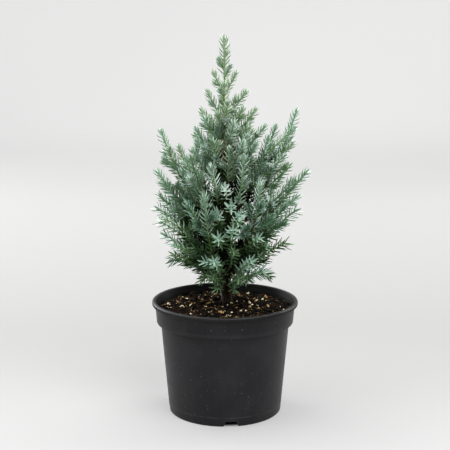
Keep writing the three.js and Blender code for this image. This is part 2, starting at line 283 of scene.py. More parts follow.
def frames_along(headings: Sequence[Vector]) -> list[tuple[Vector, Vector]]:
    """Finds pairs of directions across a line that turn as little as they can on their way along it.

    Args:
        headings: the line's direction at each of its points.

    Returns:
        For each point two directions at right angles to the heading and to each other.
    """
    nearly_across = 0.9
    side = ACROSS if abs(headings[0].x) < nearly_across else UP
    frames = []
    for heading in headings:
        side = (side - heading * side.dot(heading)).normalized()
        frames.append((side, heading.cross(side)))
    return frames


def fluted_tube(
    places: Sequence[tuple[Vector, Vector]], radius_at: Callable[[int, float], float], sides: int
) -> Shape:
    """A closed tube whose radius may change round it as well as along it.

    Args:
        places: the middle of each ring and its heading.
        radius_at: the radius at a ring's number and an angle.
        sides: how many points a ring has.

    Returns:
        Points in millimetres and faces.
    """
    points = []
    for i, ((centre, _), (across, along)) in enumerate(zip(places, frames_along([h for _, h in places]))):
        for j in range(sides):
            angle = 2 * math.pi * j / sides
            radius = radius_at(i, angle)
            points.append(centre + across * (radius * math.cos(angle)) + along * (radius * math.sin(angle)))
    return np.array(points), capped(len(places), sides)


def joined(parts: Iterable[Shape]) -> Shape:
    """Makes one shape out of several.

    Args:
        parts: the shapes.

    Returns:
        All their points, and their faces with the points' new numbers.
    """
    points: list[np.ndarray] = []
    faces: Faces = []
    count = 0
    for some_points, some_faces in parts:
        points.append(some_points)
        faces.extend(tuple(count + i for i in face) for face in some_faces)
        count += len(some_points)
    return np.vstack(points), faces


# Node trees


def socket_name(key: str) -> str:
    """A socket's shown name from a key with _ for each space."""
    return key.replace("_", " ").title().replace("Ior", "IOR")


def colour(red: float, green: float, blue: float) -> Colour:
    """Turns a display colour into the linear one that a socket takes.

    Args:
        red: its red, from 0 to 255.
        green: its green.
        blue: its blue.

    Returns:
        The linear colour, opaque.
    """

    def linear(part: float) -> float:
        """One channel without its display curve, the sRGB one."""
        part /= 255
        return part / 12.92 if part <= 0.04045 else ((part + 0.055) / 1.055) ** 2.4

    return linear(red), linear(green), linear(blue), 1.0


class Value:
    """A socket of a node tree on which arithmetic adds Math nodes."""

    def __init__(self, tree: Tree, socket: bpy.types.NodeSocket | None) -> None:
        """Wraps an output socket."""
        self.tree = tree
        self.socket = socket

    def output(self, name: str) -> Value:
        """Another output of the same node."""
        return Value(self.tree, self.socket.node.outputs[name])

    def math(self, operation: str, *others: Number, first: Number | None = None) -> Value:
        """The result of a Math node on this value and others, or on one that goes before it."""
        terms = (self, *others) if first is None else (first, self, *others)
        return self.tree.node("ShaderNodeMath", {"operation": operation}, dict(enumerate(terms)))

    def __add__(self, other: Number) -> Value:
        """This value plus another."""
        return self.math("ADD", other)

    def __sub__(self, other: Number) -> Value:
        """This value less another."""
        return self.math("SUBTRACT", other)

    def __rsub__(self, other: Number) -> Value:
        """Another value less this one."""
        return self.math("SUBTRACT", first=other)

    def __mul__(self, other: Number) -> Value:
        """This value times another."""
        return self.math("MULTIPLY", other)

    def __truediv__(self, other: Number) -> Value:
        """This value divided by another."""
        return self.math("DIVIDE", other)

    def __rtruediv__(self, other: Number) -> Value:
        """Another value divided by this one."""
        return self.math("DIVIDE", first=other)

    def __pow__(self, other: Number) -> Value:
        """This value to a power."""
        return self.math("POWER", other)

    def __mod__(self, other: Number) -> Value:
        """What is left when this value is divided."""
        return self.math("FLOORED_MODULO", other)

    def __gt__(self, other: Number) -> Value:
        """1 where this value is greater, or else 0."""
        return self.math("GREATER_THAN", other)

    __radd__ = __add__
    __rmul__ = __mul__

    def ramp(self, low: Number, high: Number) -> Value:
        """Rises smoothly from 0 at one value to 1 at another."""
        values = {"Value": self, "From Min": low, "From Max": high}
        return self.tree.node("ShaderNodeMapRange", {"interpolation_type": "SMOOTHSTEP"}, values)


Number = float | Value


class Tree:
    """A node tree under construction, of a material or of geometry."""

    def __init__(self, nodes: bpy.types.NodeTree) -> None:
        """Takes a node tree."""
        self.tree = nodes

    def node(
        self, kind: str, settings: dict | None = None, values: dict | None = None, output: int | str = 0
    ) -> Value:
        """Adds a node.

        Args:
            kind: the node's type.
            settings: its properties, which are set first.
            values: numbers, colours or links by a socket's name or number.
            output: the output that is wanted.

        Returns:
            That output, or a value without a socket where the node has none.
        """
        made = self.tree.nodes.new(kind)
        for name, setting in (settings or {}).items():
            setattr(made, name, setting)
        for key, value in (values or {}).items():
            if isinstance(value, Value):
                self.tree.links.new(value.socket, made.inputs[key])
            else:
                made.inputs[key].default_value = value
        return Value(self, made.outputs[output] if len(made.outputs) else None)


class MaterialTree(Tree):
    """A material with one Principled shader."""

    def __init__(self, name: str, base: Colour, roughness: float, **settings: float) -> None:
        """Makes the material and its shader.

        Args:
            name: the material's name.
            base: its base colour.
            roughness: its roughness.
            settings: other sockets of the shader, with _ for each space.
        """
        self.material = bpy.data.materials.new(name)
        self.material.use_nodes = True
        super().__init__(self.material.node_tree)
        self.shader = self.tree.nodes["Principled BSDF"]
        for key, value in {"base_color": base, "roughness": roughness, **settings}.items():
            self.shader.inputs[socket_name(key)].default_value = value

    @cached_property
    def place(self) -> Value:
        """The place on the piece, in metres."""
        return self.node("ShaderNodeTexCoord", output="Object")

    def part(self, vector: Value, axis: str) -> Value:
        """One of a vector's three parts."""
        return self.node("ShaderNodeSeparateXYZ", values={0: vector}, output=axis)

    def stretched(self, factors: Tone) -> Value:
        """The place on the piece with each of its parts multiplied."""
        return self.node("ShaderNodeVectorMath", {"operation": "MULTIPLY"}, {0: self.place, 1: factors})

    def blend(self, factor: Number, first: Value | Colour, second: Value | Colour) -> Value:
        """A colour between two others."""
        return self.node("ShaderNodeMix", {"data_type": "RGBA"}, {0: factor, 6: first, 7: second}, output=2)

    def feed(self, socket: str, value: Value) -> None:
        """Links a value to one of the shader's sockets."""
        self.tree.links.new(value.socket, self.shader.inputs[socket])

    def relief(self, height: Value, distance: float, strength: float = 1.0) -> None:
        """Gives the surface a bump from heights of 0 to 1 over a distance in millimetres."""
        values = {"Strength": strength, "Distance": distance * MM, "Height": height}
        self.feed("Normal", self.node("ShaderNodeBump", values=values, output="Normal"))


class GeometryTree(Tree):
    """A Geometry Nodes group with named inputs."""

    SOCKETS = {
        float: "NodeSocketFloat",
        int: "NodeSocketInt",
        bpy.types.Object: "NodeSocketObject",
        bpy.types.Material: "NodeSocketMaterial",
    }

    def __init__(self, name: str, inputs: dict[str, type]) -> None:
        """Makes the group.

        Args:
            name: the group's name.
            inputs: the type of each input after the geometry.
        """
        super().__init__(bpy.data.node_groups.new(name, "GeometryNodeTree"))
        face = self.tree.interface
        for direction in ("INPUT", "OUTPUT"):
            face.new_socket("Geometry", in_out=direction, socket_type="NodeSocketGeometry")
        self.identifiers = {}
        for key, kind in inputs.items():
            item = face.new_socket(key, in_out="INPUT", socket_type=self.SOCKETS[kind])
            self.identifiers[key] = item.identifier
        self._entry = self.tree.nodes.new("NodeGroupInput")

    def given(self, name: str) -> Value:
        """An input of the group."""
        return Value(self, self._entry.outputs[name])

    def attribute(self, name: str, kind: str = "FLOAT") -> Value:
        """The field of a named attribute."""
        return self.node("GeometryNodeInputNamedAttribute", {"data_type": kind}, {"Name": name})

    def stored(self, geometry: Value, name: str, value: Value, kind: str = "FLOAT") -> Value:
        """The geometry with a field written to its points."""
        values = {0: geometry, "Name": name, "Value": value}
        return self.node("GeometryNodeStoreNamedAttribute", {"data_type": kind, "domain": "POINT"}, values)

    def vector(self, x: Number = 0.0, y: Number = 0.0, z: Number = 0.0) -> Value:
        """A vector of three numbers."""
        return self.node("ShaderNodeCombineXYZ", values={0: x, 1: y, 2: z})

    def chance(self, low: Number, high: Number, salt: int) -> Value:
        """A number between two others, another one for each element."""
        values = {2: low, 3: high, "Seed": self.given("Seed") + salt}
        return self.node("FunctionNodeRandomValue", {"data_type": "FLOAT"}, values, output=1)

    def turned(self, rotation: Value, axis: Sequence[float], angle: Number) -> Value:
        """A rotation turned further about one of its own axes."""
        turn = self.node("FunctionNodeAxisAngleToRotation", values={"Axis": axis, "Angle": angle})
        return self.node("FunctionNodeRotateRotation", {"rotation_space": "LOCAL"}, {0: rotation, 1: turn})

    def copies(self, points: Value, name: str, rotation: Value, scale: Value) -> Value:
        """Sets a copy of an object on each point.

        Args:
            points: the points.
            name: the input that has the object.
            rotation: the copies' rotation.
            scale: their size.

        Returns:
            The copies as instances.
        """
        item = self.node("GeometryNodeObjectInfo", values={"Object": self.given(name)}, output="Geometry")
        values = {"Points": points, "Instance": item, "Rotation": rotation, "Scale": scale}
        return self.node("GeometryNodeInstanceOnPoints", values=values)

    def realized(self, instances: Value) -> Value:
        """Instances as a mesh of their own."""
        return self.node("GeometryNodeRealizeInstances", values={0: instances})

    def finished(self, geometry: Value, name: str, where: Number = True) -> Value:
        """The geometry with the material of an input, all over or where a field says so."""
        values = {0: geometry, "Selection": where, "Material": self.given(name)}
        return self.node("GeometryNodeSetMaterial", values=values)

    def ends_in(self, result: Value) -> None:
        """Makes a geometry the group's output."""
        self.node("NodeGroupOutput", values={0: result})

    def run(self, made: bpy.types.Object, name: str, **inputs: object) -> bpy.types.Object:
        """Runs the group on an object.

        Args:
            made: the object that goes in, which is used up.
            name: the result's name.
            inputs: a value for each input, with _ for each space.

        Returns:
            The result as a plain mesh object.
        """
        modifier = made.modifiers.new(self.tree.name, "NODES")
        modifier.node_group = self.tree
        for key, value in inputs.items():
            modifier[self.identifiers[socket_name(key)]] = value
        return solid_copy(made, name)


# Finishes

BLACK = colour(0, 0, 0)
DRY_SPECULAR = 0.25
SIDE_ROUGHNESS = {"upper": 0.6, "under": 0.45}


@dataclass(frozen=True)
class Clouds:
    """A pattern of cloudy noise on a finish.

    Args:
        size: the clouds' size in millimetres.
        low: the noise that counts as 0, or nothing for the noise as it is.
        high: the noise that counts as 1.
        detail: how many finer layers it has.
        roughness: how strong the finer layers are.
        stretch: factors on x, y and z, which draw the clouds out where they are under 1.
    """

    size: float
    low: float | None = None
    high: float = 1.0
    detail: float = 3.0
    roughness: float = 0.55
    stretch: Tone | None = None

    def on(self, tree: MaterialTree) -> Value:
        """Adds the pattern to a material.

        Args:
            tree: the material.

        Returns:
            The pattern's strength, from 0 to 1.
        """
        place = tree.stretched(self.stretch) if self.stretch else tree.place
        clouds = tree.node("ShaderNodeTexNoise", values={
            "Vector": place, "Scale": 1 / (self.size * MM),
            "Detail": self.detail, "Roughness": self.roughness})
        return clouds if self.low is None else clouds.ramp(self.low, self.high)


@dataclass(frozen=True)
class Plain:
    """A plain finish, as on needles and twigs, whose pieces are too small for a pattern.

    Args:
        name: the material's name.
        tone: its display colour.
        roughness: how matt it is.
    """

    name: str
    tone: Tone
    roughness: float = 0.5

    def material(self) -> bpy.types.Material:
        """Makes the material."""
        tree = MaterialTree(self.name, colour(*self.tone), self.roughness, specular_ior_level=DRY_SPECULAR)
        return tree.material


class Shade(Enum):
    """The greens that are dealt out to the sprays: the waxy upper side and the underside of a needle."""

    # SHADED: the darkest green, for needles deep in the crown; partly the older needles' own colour, partly
    # painted shade.
    SHADED = ((50, 68, 38), (26, 40, 15))
    GREY = ((183, 200, 186), (121, 146, 114))
    # MOSS: a darker, greener tone for low and inner sprays; partly their own tint, partly painted shade.
    MOSS = ((116, 140, 110), (76, 104, 68))
    # STAR: darker than BLUE, dealt mostly to low sprays that face the lamps in front and at the back; painted
    # shade that tones down the light falling full on them.
    STAR = ((144, 168, 154), (104, 132, 110))
    BLUE = ((198, 212, 204), (135, 160, 136))
    PALE = ((192, 207, 198), (141, 165, 145))
    FRESH = ((199, 210, 198), (147, 167, 141))

    @property
    def sides(self) -> list[str]:
        """The keys of its two finishes."""
        return [f"{self.name.lower()}_{side}" for side in SIDE_ROUGHNESS]

    def materials(self) -> dict[str, bpy.types.Material]:
        """Makes its two finishes, by their keys."""
        looks = zip(self.sides, self.value, SIDE_ROUGHNESS.values())
        return {key: Plain(f"needle_{key}", tone, roughness).material() for key, tone, roughness in looks}


@dataclass(frozen=True)
class PotPlastic:
    """Charcoal plastic with the dust, scuffs and fine marks of a used nursery pot, and painted shade that
    makes the collar darker and the lip darker still.
    """

    tone: Colour = colour(37, 37, 40)
    collar_painted_shade: Colour = colour(27, 27, 30)
    lip_painted_shade: Colour = colour(9, 9, 12)
    worn: Colour = colour(66, 66, 67)
    dust: Colour = colour(150, 148, 143)
    collar_from: float = 84
    collar_fade: float = 2
    lip_from: float = 96.8
    lip_fade: float = 0.6
    haze: Clouds = Clouds(26, 0.42, 0.68, 4, 0.6)
    streaks: Clouds = Clouds(2.4, 0.5, 0.72, stretch=(1, 1, 0.12))
    grain: Clouds = Clouds(0.5, detail=2)
    gaps: Clouds = Clouds(9, 0.44, 0.56)
    scuffs: Clouds = Clouds(1.1, 0.7, 0.78, 2, stretch=(0.22, 0.22, 1.5))
    grain_depth: float = 0.05
    speck_cell: float = 2.9
    speck_radius: float = 0.33
    speckless: float = 0.35
    speck_strength: float = 0.8
    ring_height: float = 8
    ring_width: float = 0.5

    def material(self) -> bpy.types.Material:
        """Makes the material.

        Returns:
            The material.
        """
        tree = MaterialTree("charcoal_plastic", self.tone, 0.4, specular_ior_level=0.5)
        height = tree.part(tree.place, "Z") / MM
        haze, grain = self.haze.on(tree), self.grain.on(tree)
        specks = self._specks(tree)
        ring = 1 - (height - self.ring_height).math("ABSOLUTE").ramp(self.ring_width / 2, self.ring_width)
        marks = haze * 0.22 + self.streaks.on(tree) * 0.1
        wear = marks + ring * (self.gaps.on(tree) * 0.9 + 0.25) + self.scuffs.on(tree) * 0.6
        # Painted shade: the same plastic is painted darker on the collar and darker still on the lip.
        lip = height.ramp(self.lip_from, self.lip_from + self.lip_fade)
        below = height.ramp(self.collar_from, self.collar_from + self.collar_fade)
        clean = tree.blend(lip, tree.blend(below, self.tone, self.collar_painted_shade), self.lip_painted_shade)
        tree.feed("Base Color", tree.blend(specks, tree.blend(wear, clean, self.worn), self.dust))
        tree.feed("Roughness", haze * 0.1 + grain * 0.08 + specks * 0.3 + lip * 0.1 + 0.34)
        tree.relief(grain * 0.6 + haze * 0.4, self.grain_depth, 0.35)
        return tree.material

    def _specks(self, tree: MaterialTree) -> Value:
        """Scatters grains of dust.

        Args:
            tree: the material.

        Returns:
            How much of the dust shows, from 0 to 1.
        """
        tiny = 0.0001
        values = {"Vector": tree.place, "Scale": 1 / (self.speck_cell * MM)}
        distance = tree.node("ShaderNodeTexVoronoi", {"feature": "F1"}, values, output="Distance")
        pick = tree.part(distance.output("Color"), "X")
        size = pick.ramp(self.speckless, 1.0) * (self.speck_radius / self.speck_cell)
        dot = 1 - (distance / (size + tiny)).ramp(0.75, 1.1)
        return dot * (pick > self.speckless) * self.speck_strength


@dataclass(frozen=True)
class Peat:
    """Dark moist peat."""

    dark: Colour = colour(9, 7, 6)
    light: Colour = colour(47, 37, 28)
    clods: Clouds = Clouds(4.5, detail=5, roughness=0.62)
    fines: Clouds = Clouds(0.9, detail=4, roughness=0.6)
    depth: float = 0.7

    def material(self) -> bpy.types.Material:
        """Makes the material.

        Returns:
            The material.
        """
        tree = MaterialTree("peat", self.dark, 0.9, specular_ior_level=0.15)
        clods, fines = self.clods.on(tree), self.fines.on(tree)
        pale = clods.ramp(0.42, 0.7) * 0.6 + fines.ramp(0.5, 0.75) * 0.4
        tree.feed("Base Color", tree.blend(pale, self.dark, self.light))
        tree.feed("Roughness", 0.95 - clods * 0.25)
        tree.relief(fines * 0.5 + clods * 0.5, self.depth)
        return tree.material


@dataclass(frozen=True)
class Mottled:
    """A finish with two tones in clouds, as on bark chips and grains of perlite.

    Args:
        name: the material's name.
        first: one tone.
        second: the other.
        size: the clouds' size in millimetres.
        roughness: how matt it is.
    """

    name: str
    first: Tone
    second: Tone
    size: float
    roughness: float = 0.8

    def material(self) -> bpy.types.Material:
        """Makes the material.

        Returns:
            The material.
        """
        first, second = colour(*self.first), colour(*self.second)
        tree = MaterialTree(self.name, first, self.roughness, specular_ior_level=DRY_SPECULAR)
        tree.feed("Base Color", tree.blend(Clouds(self.size, 0.36, 0.64, 3, 0.6).on(tree), first, second))
        tree.relief(Clouds(self.size / 4).on(tree), self.size / 12)
        return tree.material


@dataclass(frozen=True)
class Bark:
    """Stringy bark, dark red-brown at the foot, orange-brown higher up and green on the year's growth, with
    painted shade in its clefts.
    """

    foot: Colour = colour(74, 57, 46)
    cleft_painted_shade: Colour = colour(22, 13, 9)
    orange: Colour = colour(220, 176, 138)
    green: Colour = colour(178, 196, 116)
    orange_from: float = 205
    orange_to: float = 236
    green_from: float = 247
    green_to: float = 258
    ragged: float = 12
    strands: Clouds = Clouds(1.1, detail=5, roughness=0.65, stretch=(1, 1, 0.14))
    patches: Clouds = Clouds(8)
    depth: float = 0.35

    def material(self) -> bpy.types.Material:
        """Makes the material.

        Returns:
            The material.
        """
        tree = MaterialTree("bark", self.foot, 0.82)
        height = tree.part(tree.place, "Z") / MM
        strands = self.strands.on(tree)
        young = height.ramp(self.orange_from, self.orange_to)
        # Painted shade: the clefts between the strands are darkened, less so higher up where the bark is
        # young.
        clefts = strands.ramp(0.6, 0.38) * (1 - young * 0.75)
        brown = tree.blend(clefts, tree.blend(young, self.foot, self.orange), self.cleft_painted_shade)
        green = (height + (self.patches.on(tree) - 0.5) * self.ragged).ramp(self.green_from, self.green_to)
        tree.feed("Base Color", tree.blend(green, brown, self.green))
        tree.feed("Roughness", 0.9 - strands * 0.25)
        tree.relief(strands, self.depth, 0.8)
        return tree.material


@dataclass(frozen=True)
class PalePaper:
    """The smooth pale sweep on which the plant stands, with the ends of its fades in metres. It glows though
    it is no lamp: painted light that lifts it and softens the shadows on it, with a painted contact shadow
    where the glow stops under the pot.
    """

    tone: Colour = colour(116, 116, 115)
    near_painted_glow: Colour = colour(168, 167, 168)
    far_painted_glow: Colour = colour(115, 114, 115)
    wall_painted_glow: Colour = colour(142, 141, 142)
    near_to: float = -0.38
    far_from: float = 0.3
    far_to: float = 1.4
    wall_from: float = 2.6
    painted_shadow_within: float = 43
    painted_shadow_edge: float = 50

    def material(self) -> bpy.types.Material:
        """Makes the material.

        Returns:
            The material.
        """
        tree = MaterialTree("pale_sweep", self.tone, 0.9, specular_ior_level=0.2, emission_strength=1)
        level = tree.stretched((1, 1, 0))
        radius = tree.node("ShaderNodeVectorMath", {"operation": "LENGTH"}, {0: level}, output="Value") / MM
        back = tree.part(tree.place, "Y")
        # Painted light: the glow is brighter in front of the pot and on the wall than behind it, and it fades
        # to black under the pot as a painted contact shadow.
        floor = tree.blend(back.ramp(self.near_to, self.far_from), self.near_painted_glow, self.far_painted_glow)
        painted_glow = tree.blend(back.ramp(self.far_to, self.wall_from), floor, self.wall_painted_glow)
        tree.feed("Emission Color", tree.blend(radius.ramp(self.painted_shadow_within, self.painted_shadow_edge), BLACK, painted_glow))
        return tree.material


# The stage


@dataclass(frozen=True)
class Lamp:
    """A large square lamp.

    Args:
        name: its name.
        place: where it hangs, in metres.
        size: its width in metres.
        power: its power in watts.
        target: the point that it faces.
    """

    name: str
    place: tuple[float, float, float]
    size: float
    power: float
    target: tuple[float, float, float] = (0, 0, 0.15)

    def hang(self) -> None:
        """Hangs the lamp in the scene."""
        data = bpy.data.lights.new(self.name, "AREA")
        data.size = self.size
        data.energy = self.power
        lamp = linked(self.name, data)
        lamp.location = self.place
        aim = Vector(self.target) - Vector(self.place)
        lamp.rotation_euler = aim.to_track_quat("-Z", "Y").to_euler()


@dataclass
class Studio:
    """The camera, the pale sweep and the soft light."""

    camera_back: float = 900
    camera_height: float = 333.44
    camera_tilt: float = 79.6
    camera_reach: float = 50
    lens: float = 82.95
    film: float = 36
    floor_radius: float = 2200
    floor_rings: tuple[float, ...] = (0.02, 0.2, 0.5, 0.8, 1.0)
    bend: float = 900
    bend_steps: int = 12
    wall_top: float = 2600
    turns: int = 96
    room_tone: Colour = (0.96, 0.98, 1.0, 1)
    room_light: float = 0.38
    lamps: tuple[Lamp, ...] = (
        Lamp("key", (0.95, -1.4, 2.2), 1.6, 44),
        Lamp("fill", (-1.3, -0.4, 1.9), 1.5, 24),
        Lamp("backlight", (0.2, 1.2, 2.6), 2.4, 104, (0, 3.1, 0.9)),
        Lamp("left_rim", (-1.45, 1.15, 0.8), 1.2, 21),
        Lamp("right_rim", (1.5, 1.0, 0.8), 1.1, 13),
    )

    def camera(self) -> None:
        """Sets up the camera that looks from the photograph's place."""
        data = bpy.data.cameras.new("camera")
        data.lens = self.lens
        data.sensor_width = self.film
        data.clip_end = self.camera_reach
        camera = linked("camera", data)
        camera.location = (0, -self.camera_back * MM, self.camera_height * MM)
        camera.rotation_euler = (math.radians(self.camera_tilt), 0, 0)
        bpy.context.scene.camera = camera

    def sweep(self) -> None:
        """Makes the floor, which curves up into a wall all round."""
        profile = [(self.floor_radius * share, 0.0) for share in self.floor_rings]
        for i in range(1, self.bend_steps + 1):
            angle = math.pi / 2 * i / self.bend_steps
            radius = self.floor_radius + self.bend * math.sin(angle)
            profile.append((radius, self.bend * (1 - math.cos(angle))))
        profile.append((self.floor_radius + self.bend, self.wall_top))
        faces = [tuple(reversed(face)) for face in ring_faces(len(profile), self.turns)]
        sweep = mesh_object("sweep", lathe_points(profile, self.turns), [tuple(range(self.turns)), *faces])
        sweep.data.shade_smooth()
        sweep.data.materials.append(PalePaper().material())

    def lights(self) -> None:
        """Hangs the lamps and fills the room with pale light."""
        scene = bpy.context.scene
        scene.view_settings.view_transform = "Standard"
        scene.view_settings.look = "High Contrast"
        scene.world = bpy.data.worlds.new("room")
        scene.world.use_nodes = True
        room = scene.world.node_tree.nodes["Background"]
        room.inputs["Color"].default_value = self.room_tone
        room.inputs["Strength"].default_value = self.room_light
        for lamp in self.lamps:
            lamp.hang()

    def build(self) -> None:
        """Builds the stage."""
        self.camera()
        self.sweep()
        self.lights()


# The pot


def arc(centre: Point, radius: float, start: float, end: float, steps: int) -> list[Point]:
    """Points of a round corner in a profile, with angles in degrees."""
    angles = np.radians(np.linspace(start, end, steps + 1))
    return [(centre[0] + radius * math.cos(a), centre[1] + radius * math.sin(a)) for a in angles]


@dataclass
class Pot:
    """The round nursery pot with its rounded lip, its collar and four drainage channels."""

    height: float = 101
    lip_radius: float = 65
    lip_inner_radius: float = 61.7
    lip_height: float = 4.5
    lip_round: float = 1.9
    lip_inner_round: float = 0.8
    lip_fillet: float = 0.7
    collar_top_radius: float = 62.1
    collar_foot_radius: float = 61
    collar_foot: float = 81.3
    collar_round: float = 0.9
    collar_fillet: float = 0.8
    body_top_radius: float = 57.3
    body_top_inset: float = 0.03
    body_top_drop: float = 1.2
    base_radius: float = 50.4
    foot_round: float = 1.3
    wall: float = 1.5
    inner_floor: float = 7
    dish_radius: float = 20
    dish_depth: float = 0.6
    turns: int = 240
    crease: float = 40
    channels: int = 4
    first_channel: float = -84
    channel_width: float = 15.5
    channel_top_width: float = 9
    channel_height: float = 4.6
    channel_end: float = 24
    hole_radius: float = 3.5
    hole_from_axis: float = 40
    hole_height: float = 6.2
    hole_turns: int = 28
    below: float = 2

    def profile(self) -> list[Point]:
        """Draws the wall's outline.

        Returns:
            Radii and heights, from the dish in the underside round the lip to the edge of the floor inside.
        """
        lip_foot, top = self.height - self.lip_height, self.height
        lip, fillet = self.lip_radius - self.lip_round, self.collar_fillet
        edge, inner, corner = self.lip_fillet, self.lip_inner_round, self.collar_round
        return [
            (self.dish_radius, self.dish_depth),
            (self.dish_radius + self.dish_depth, 0),
            *arc((self.base_radius - self.foot_round, self.foot_round), self.foot_round, -90, -4, 5),
            (self.body_top_radius - self.body_top_inset, self.collar_foot - self.body_top_drop),
            *arc((self.body_top_radius + fillet, self.collar_foot - fillet), fillet, 180, 90, 4),
            *arc((self.collar_foot_radius - corner, self.collar_foot + corner), corner, -90, 3, 6),
            *arc((self.collar_top_radius + edge, lip_foot - edge), edge, 180, 90, 4),
            *arc((lip, lip_foot + self.lip_round), self.lip_round, -90, 0, 7),
            *arc((lip, top - self.lip_round), self.lip_round, 0, 90, 7),
            *arc((self.lip_inner_radius + inner, top - inner), inner, 90, 180, 5),
            (self.collar_top_radius - self.wall, lip_foot - self.wall),
            (self.collar_foot_radius - self.wall, self.collar_foot + self.wall),
            (self.body_top_radius - self.wall, self.collar_foot - self.wall),
            (self.base_radius - self.wall, self.inner_floor),
        ]

    def _bar(self, azimuth: float) -> Shape:
        """A channel's hollow as a bar along a radius.

        Args:
            azimuth: the channel's direction.

        Returns:
            The bar.
        """
        foot, top = self.channel_width / 2, self.channel_top_width / 2
        low, high = -self.below, self.channel_height
        section = [(-foot, low), (foot, low), (top, high), (-top, high)]
        along, side = outward(azimuth), outward(azimuth + 90)
        ends = (self.channel_end, self.lip_radius)
        points = [along * end + side * y + UP * z for end in ends for y, z in section]
        return np.array(points), [(3, 2, 1, 0), (4, 5, 6, 7), *ring_faces(2, len(section))]

    def _hole(self, azimuth: float) -> Shape:
        """A channel's drainage hole as a round peg."""
        middle = outward(azimuth) * self.hole_from_axis
        ends = [(middle + UP, UP), (middle + UP * self.hole_height, UP)]
        return fluted_tube(ends, lambda ring, angle: self.hole_radius, self.hole_turns)

    def build(self) -> bpy.types.Object:
        """Builds the pot and gives it its finish.

        Returns:
            The piece.
        """
        profile = self.profile()
        shell = mesh_object("pot_shell", lathe_points(profile, self.turns), capped(len(profile), self.turns))
        azimuths = [self.first_channel + 360 * i / self.channels for i in range(self.channels)]
        for name, make in (("channels", self._bar), ("holes", self._hole)):
            cutter = mesh_object(name, *joined(make(azimuth) for azimuth in azimuths))
            cut = shell.modifiers.new(name, "BOOLEAN")
            cut.operation = "DIFFERENCE"
            cut.solver = "EXACT"
            cut.object = cutter
            shell = solid_copy(shell, "pot_shell")
            bpy.data.objects.remove(cutter)
        shell.name = "pot_wall"
        shell.data.materials.clear()
        shell.data.materials.append(PotPlastic().material())
        shell.data.shade_smooth()
        shell.data.set_sharp_from_angle(angle=math.radians(self.crease))
        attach(shell, BODY)
        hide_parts("pot")
        return shell


# The soil


@dataclass(frozen=True)
class Lumps:
    """Lumps of one size that stand up from the soil.

    Args:
        height: how far they may stand up.
        width: how wide they are.
        layer: their own level in the noise.
    """

    height: float
    width: float
    layer: float

    def at(self, x: float, y: float) -> float:
        """How far they stand up at a place."""
        return self.height * noise.noise(Vector((x / self.width, y / self.width, self.layer)))


@dataclass
class Soil:
    """The peat that fills the pot, mounded to the trunk, with what lies on it."""

    wall_radius: float = 60.2
    wall_height: float = 92.8
    mid_radius: float = 36
    mid_height: float = 96
    crown_radius: float = 8
    crown_height: float = 100
    foot_radius: float = 57
    foot_height: float = 84
    rings: int = 84
    turns: int = 200
    lumps: tuple[Lumps, ...] = (Lumps(1.8, 17, 0.3), Lumps(2.2, 5.2, 5.1), Lumps(0.8, 1.5, 9.7))
    settled: float = 0.5
    even_rim: float = 6
    least_uneven: float = 0.25
    bare_rim: float = 1.6
    bare_middle: float = 6.2

    def level(self, radius: float) -> float:
        """The height of the even soil at a distance from the axis.

        Args:
            radius: the distance.

        Returns:
            The height.
        """
        radii = (0, self.crown_radius, self.mid_radius, self.wall_radius)
        heights = (self.crown_height, self.crown_height, self.mid_height, self.wall_height)
        return float(np.interp(radius, radii, heights))

    def surface(self, x: float, y: float) -> float:
        """The height of the lumpy soil at a place.

        Args:
            x: the place's x.
            y: the place's y.

        Returns:
            The height, which evens out towards the pot's wall.
        """
        radius = math.hypot(x, y)
        fade = min(1.0, max(self.least_uneven, (self.wall_radius - radius) / self.even_rim))
        return self.level(radius) - self.settled + sum(lumps.at(x, y) for lumps in self.lumps) * fade

    def ground(self) -> bpy.types.Object:
        """Builds the lumpy peat as a closed plug.

        Returns:
            The ground, with the field that says where litter may lie.
        """
        radii = [self.wall_radius * (i / self.rings) for i in range(self.rings, 0, -1)]
        foot = lathe_points([(self.foot_radius, self.foot_height)], self.turns)
        top = [*lathe_points([(radius, 0) for radius in radii], self.turns), (0, 0, 0)]
        points = [*foot, *((x, y, self.surface(x, y)) for x, y, _ in top)]
        ground = mesh_object("soil_ground", points, pointed(len(radii) + 1, self.turns))
        ground.data.shade_smooth()
        ground.data.materials.append(Peat().material())
        write_attribute(ground, "open_ground", "FLOAT", [self._open(*point) for point in points])
        return ground

    def _open(self, x: float, y: float, z: float) -> float:
        """1 where litter may lie: on the top, off the pot's wall and off the trunk."""
        radius = math.hypot(x, y)
        return float(self.foot_height < z and self.bare_middle < radius < self.wall_radius - self.bare_rim)

    def build(self) -> list[bpy.types.Object]:
        """Builds the soil and its litter.

        Returns:
            The pieces.
        """
        ground = self.ground()
        scatter = scatter_tree()
        strewn = [kind.strew(ground, scatter, LITTER_SEED + i) for i, kind in enumerate(LITTER)]
        pieces = [ground, *strewn]
        ground.data.attributes.remove(ground.data.attributes["open_ground"])
        for piece in pieces:
            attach(piece, BODY)
        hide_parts("soil")
        return pieces


@dataclass(frozen=True)
class Lump:
    """A crumb or a chip of size 1.

    Args:
        flatness: its thickness as a share of its width.
    """

    flatness: float

    def item(self, name: str) -> bpy.types.Object:
        """Builds the lump.

        Args:
            name: the name of its kind, which also gives it its own dents.

        Returns:
            The item.
        """
        narrowest, narrowing, dent, dent_scale = 0.4, 0.45, 0.9, 3.1
        depth = narrowest + narrowing * self.flatness
        salt = Vector((sum(map(ord, name)), 0, 0))
        ball = bmesh.new()
        bmesh.ops.create_icosphere(ball, subdivisions=2, radius=0.5)
        points = []
        for vert in ball.verts:
            push = 1 + dent * noise.noise(vert.co * dent_scale + salt)
            x, y, z = vert.co
            points.append(Vector((x, y * depth, z * self.flatness)) * push)
        faces = [[vert.index for vert in face.verts] for face in ball.faces]
        ball.free()
        return mesh_object(f"{name}_item", points, faces)


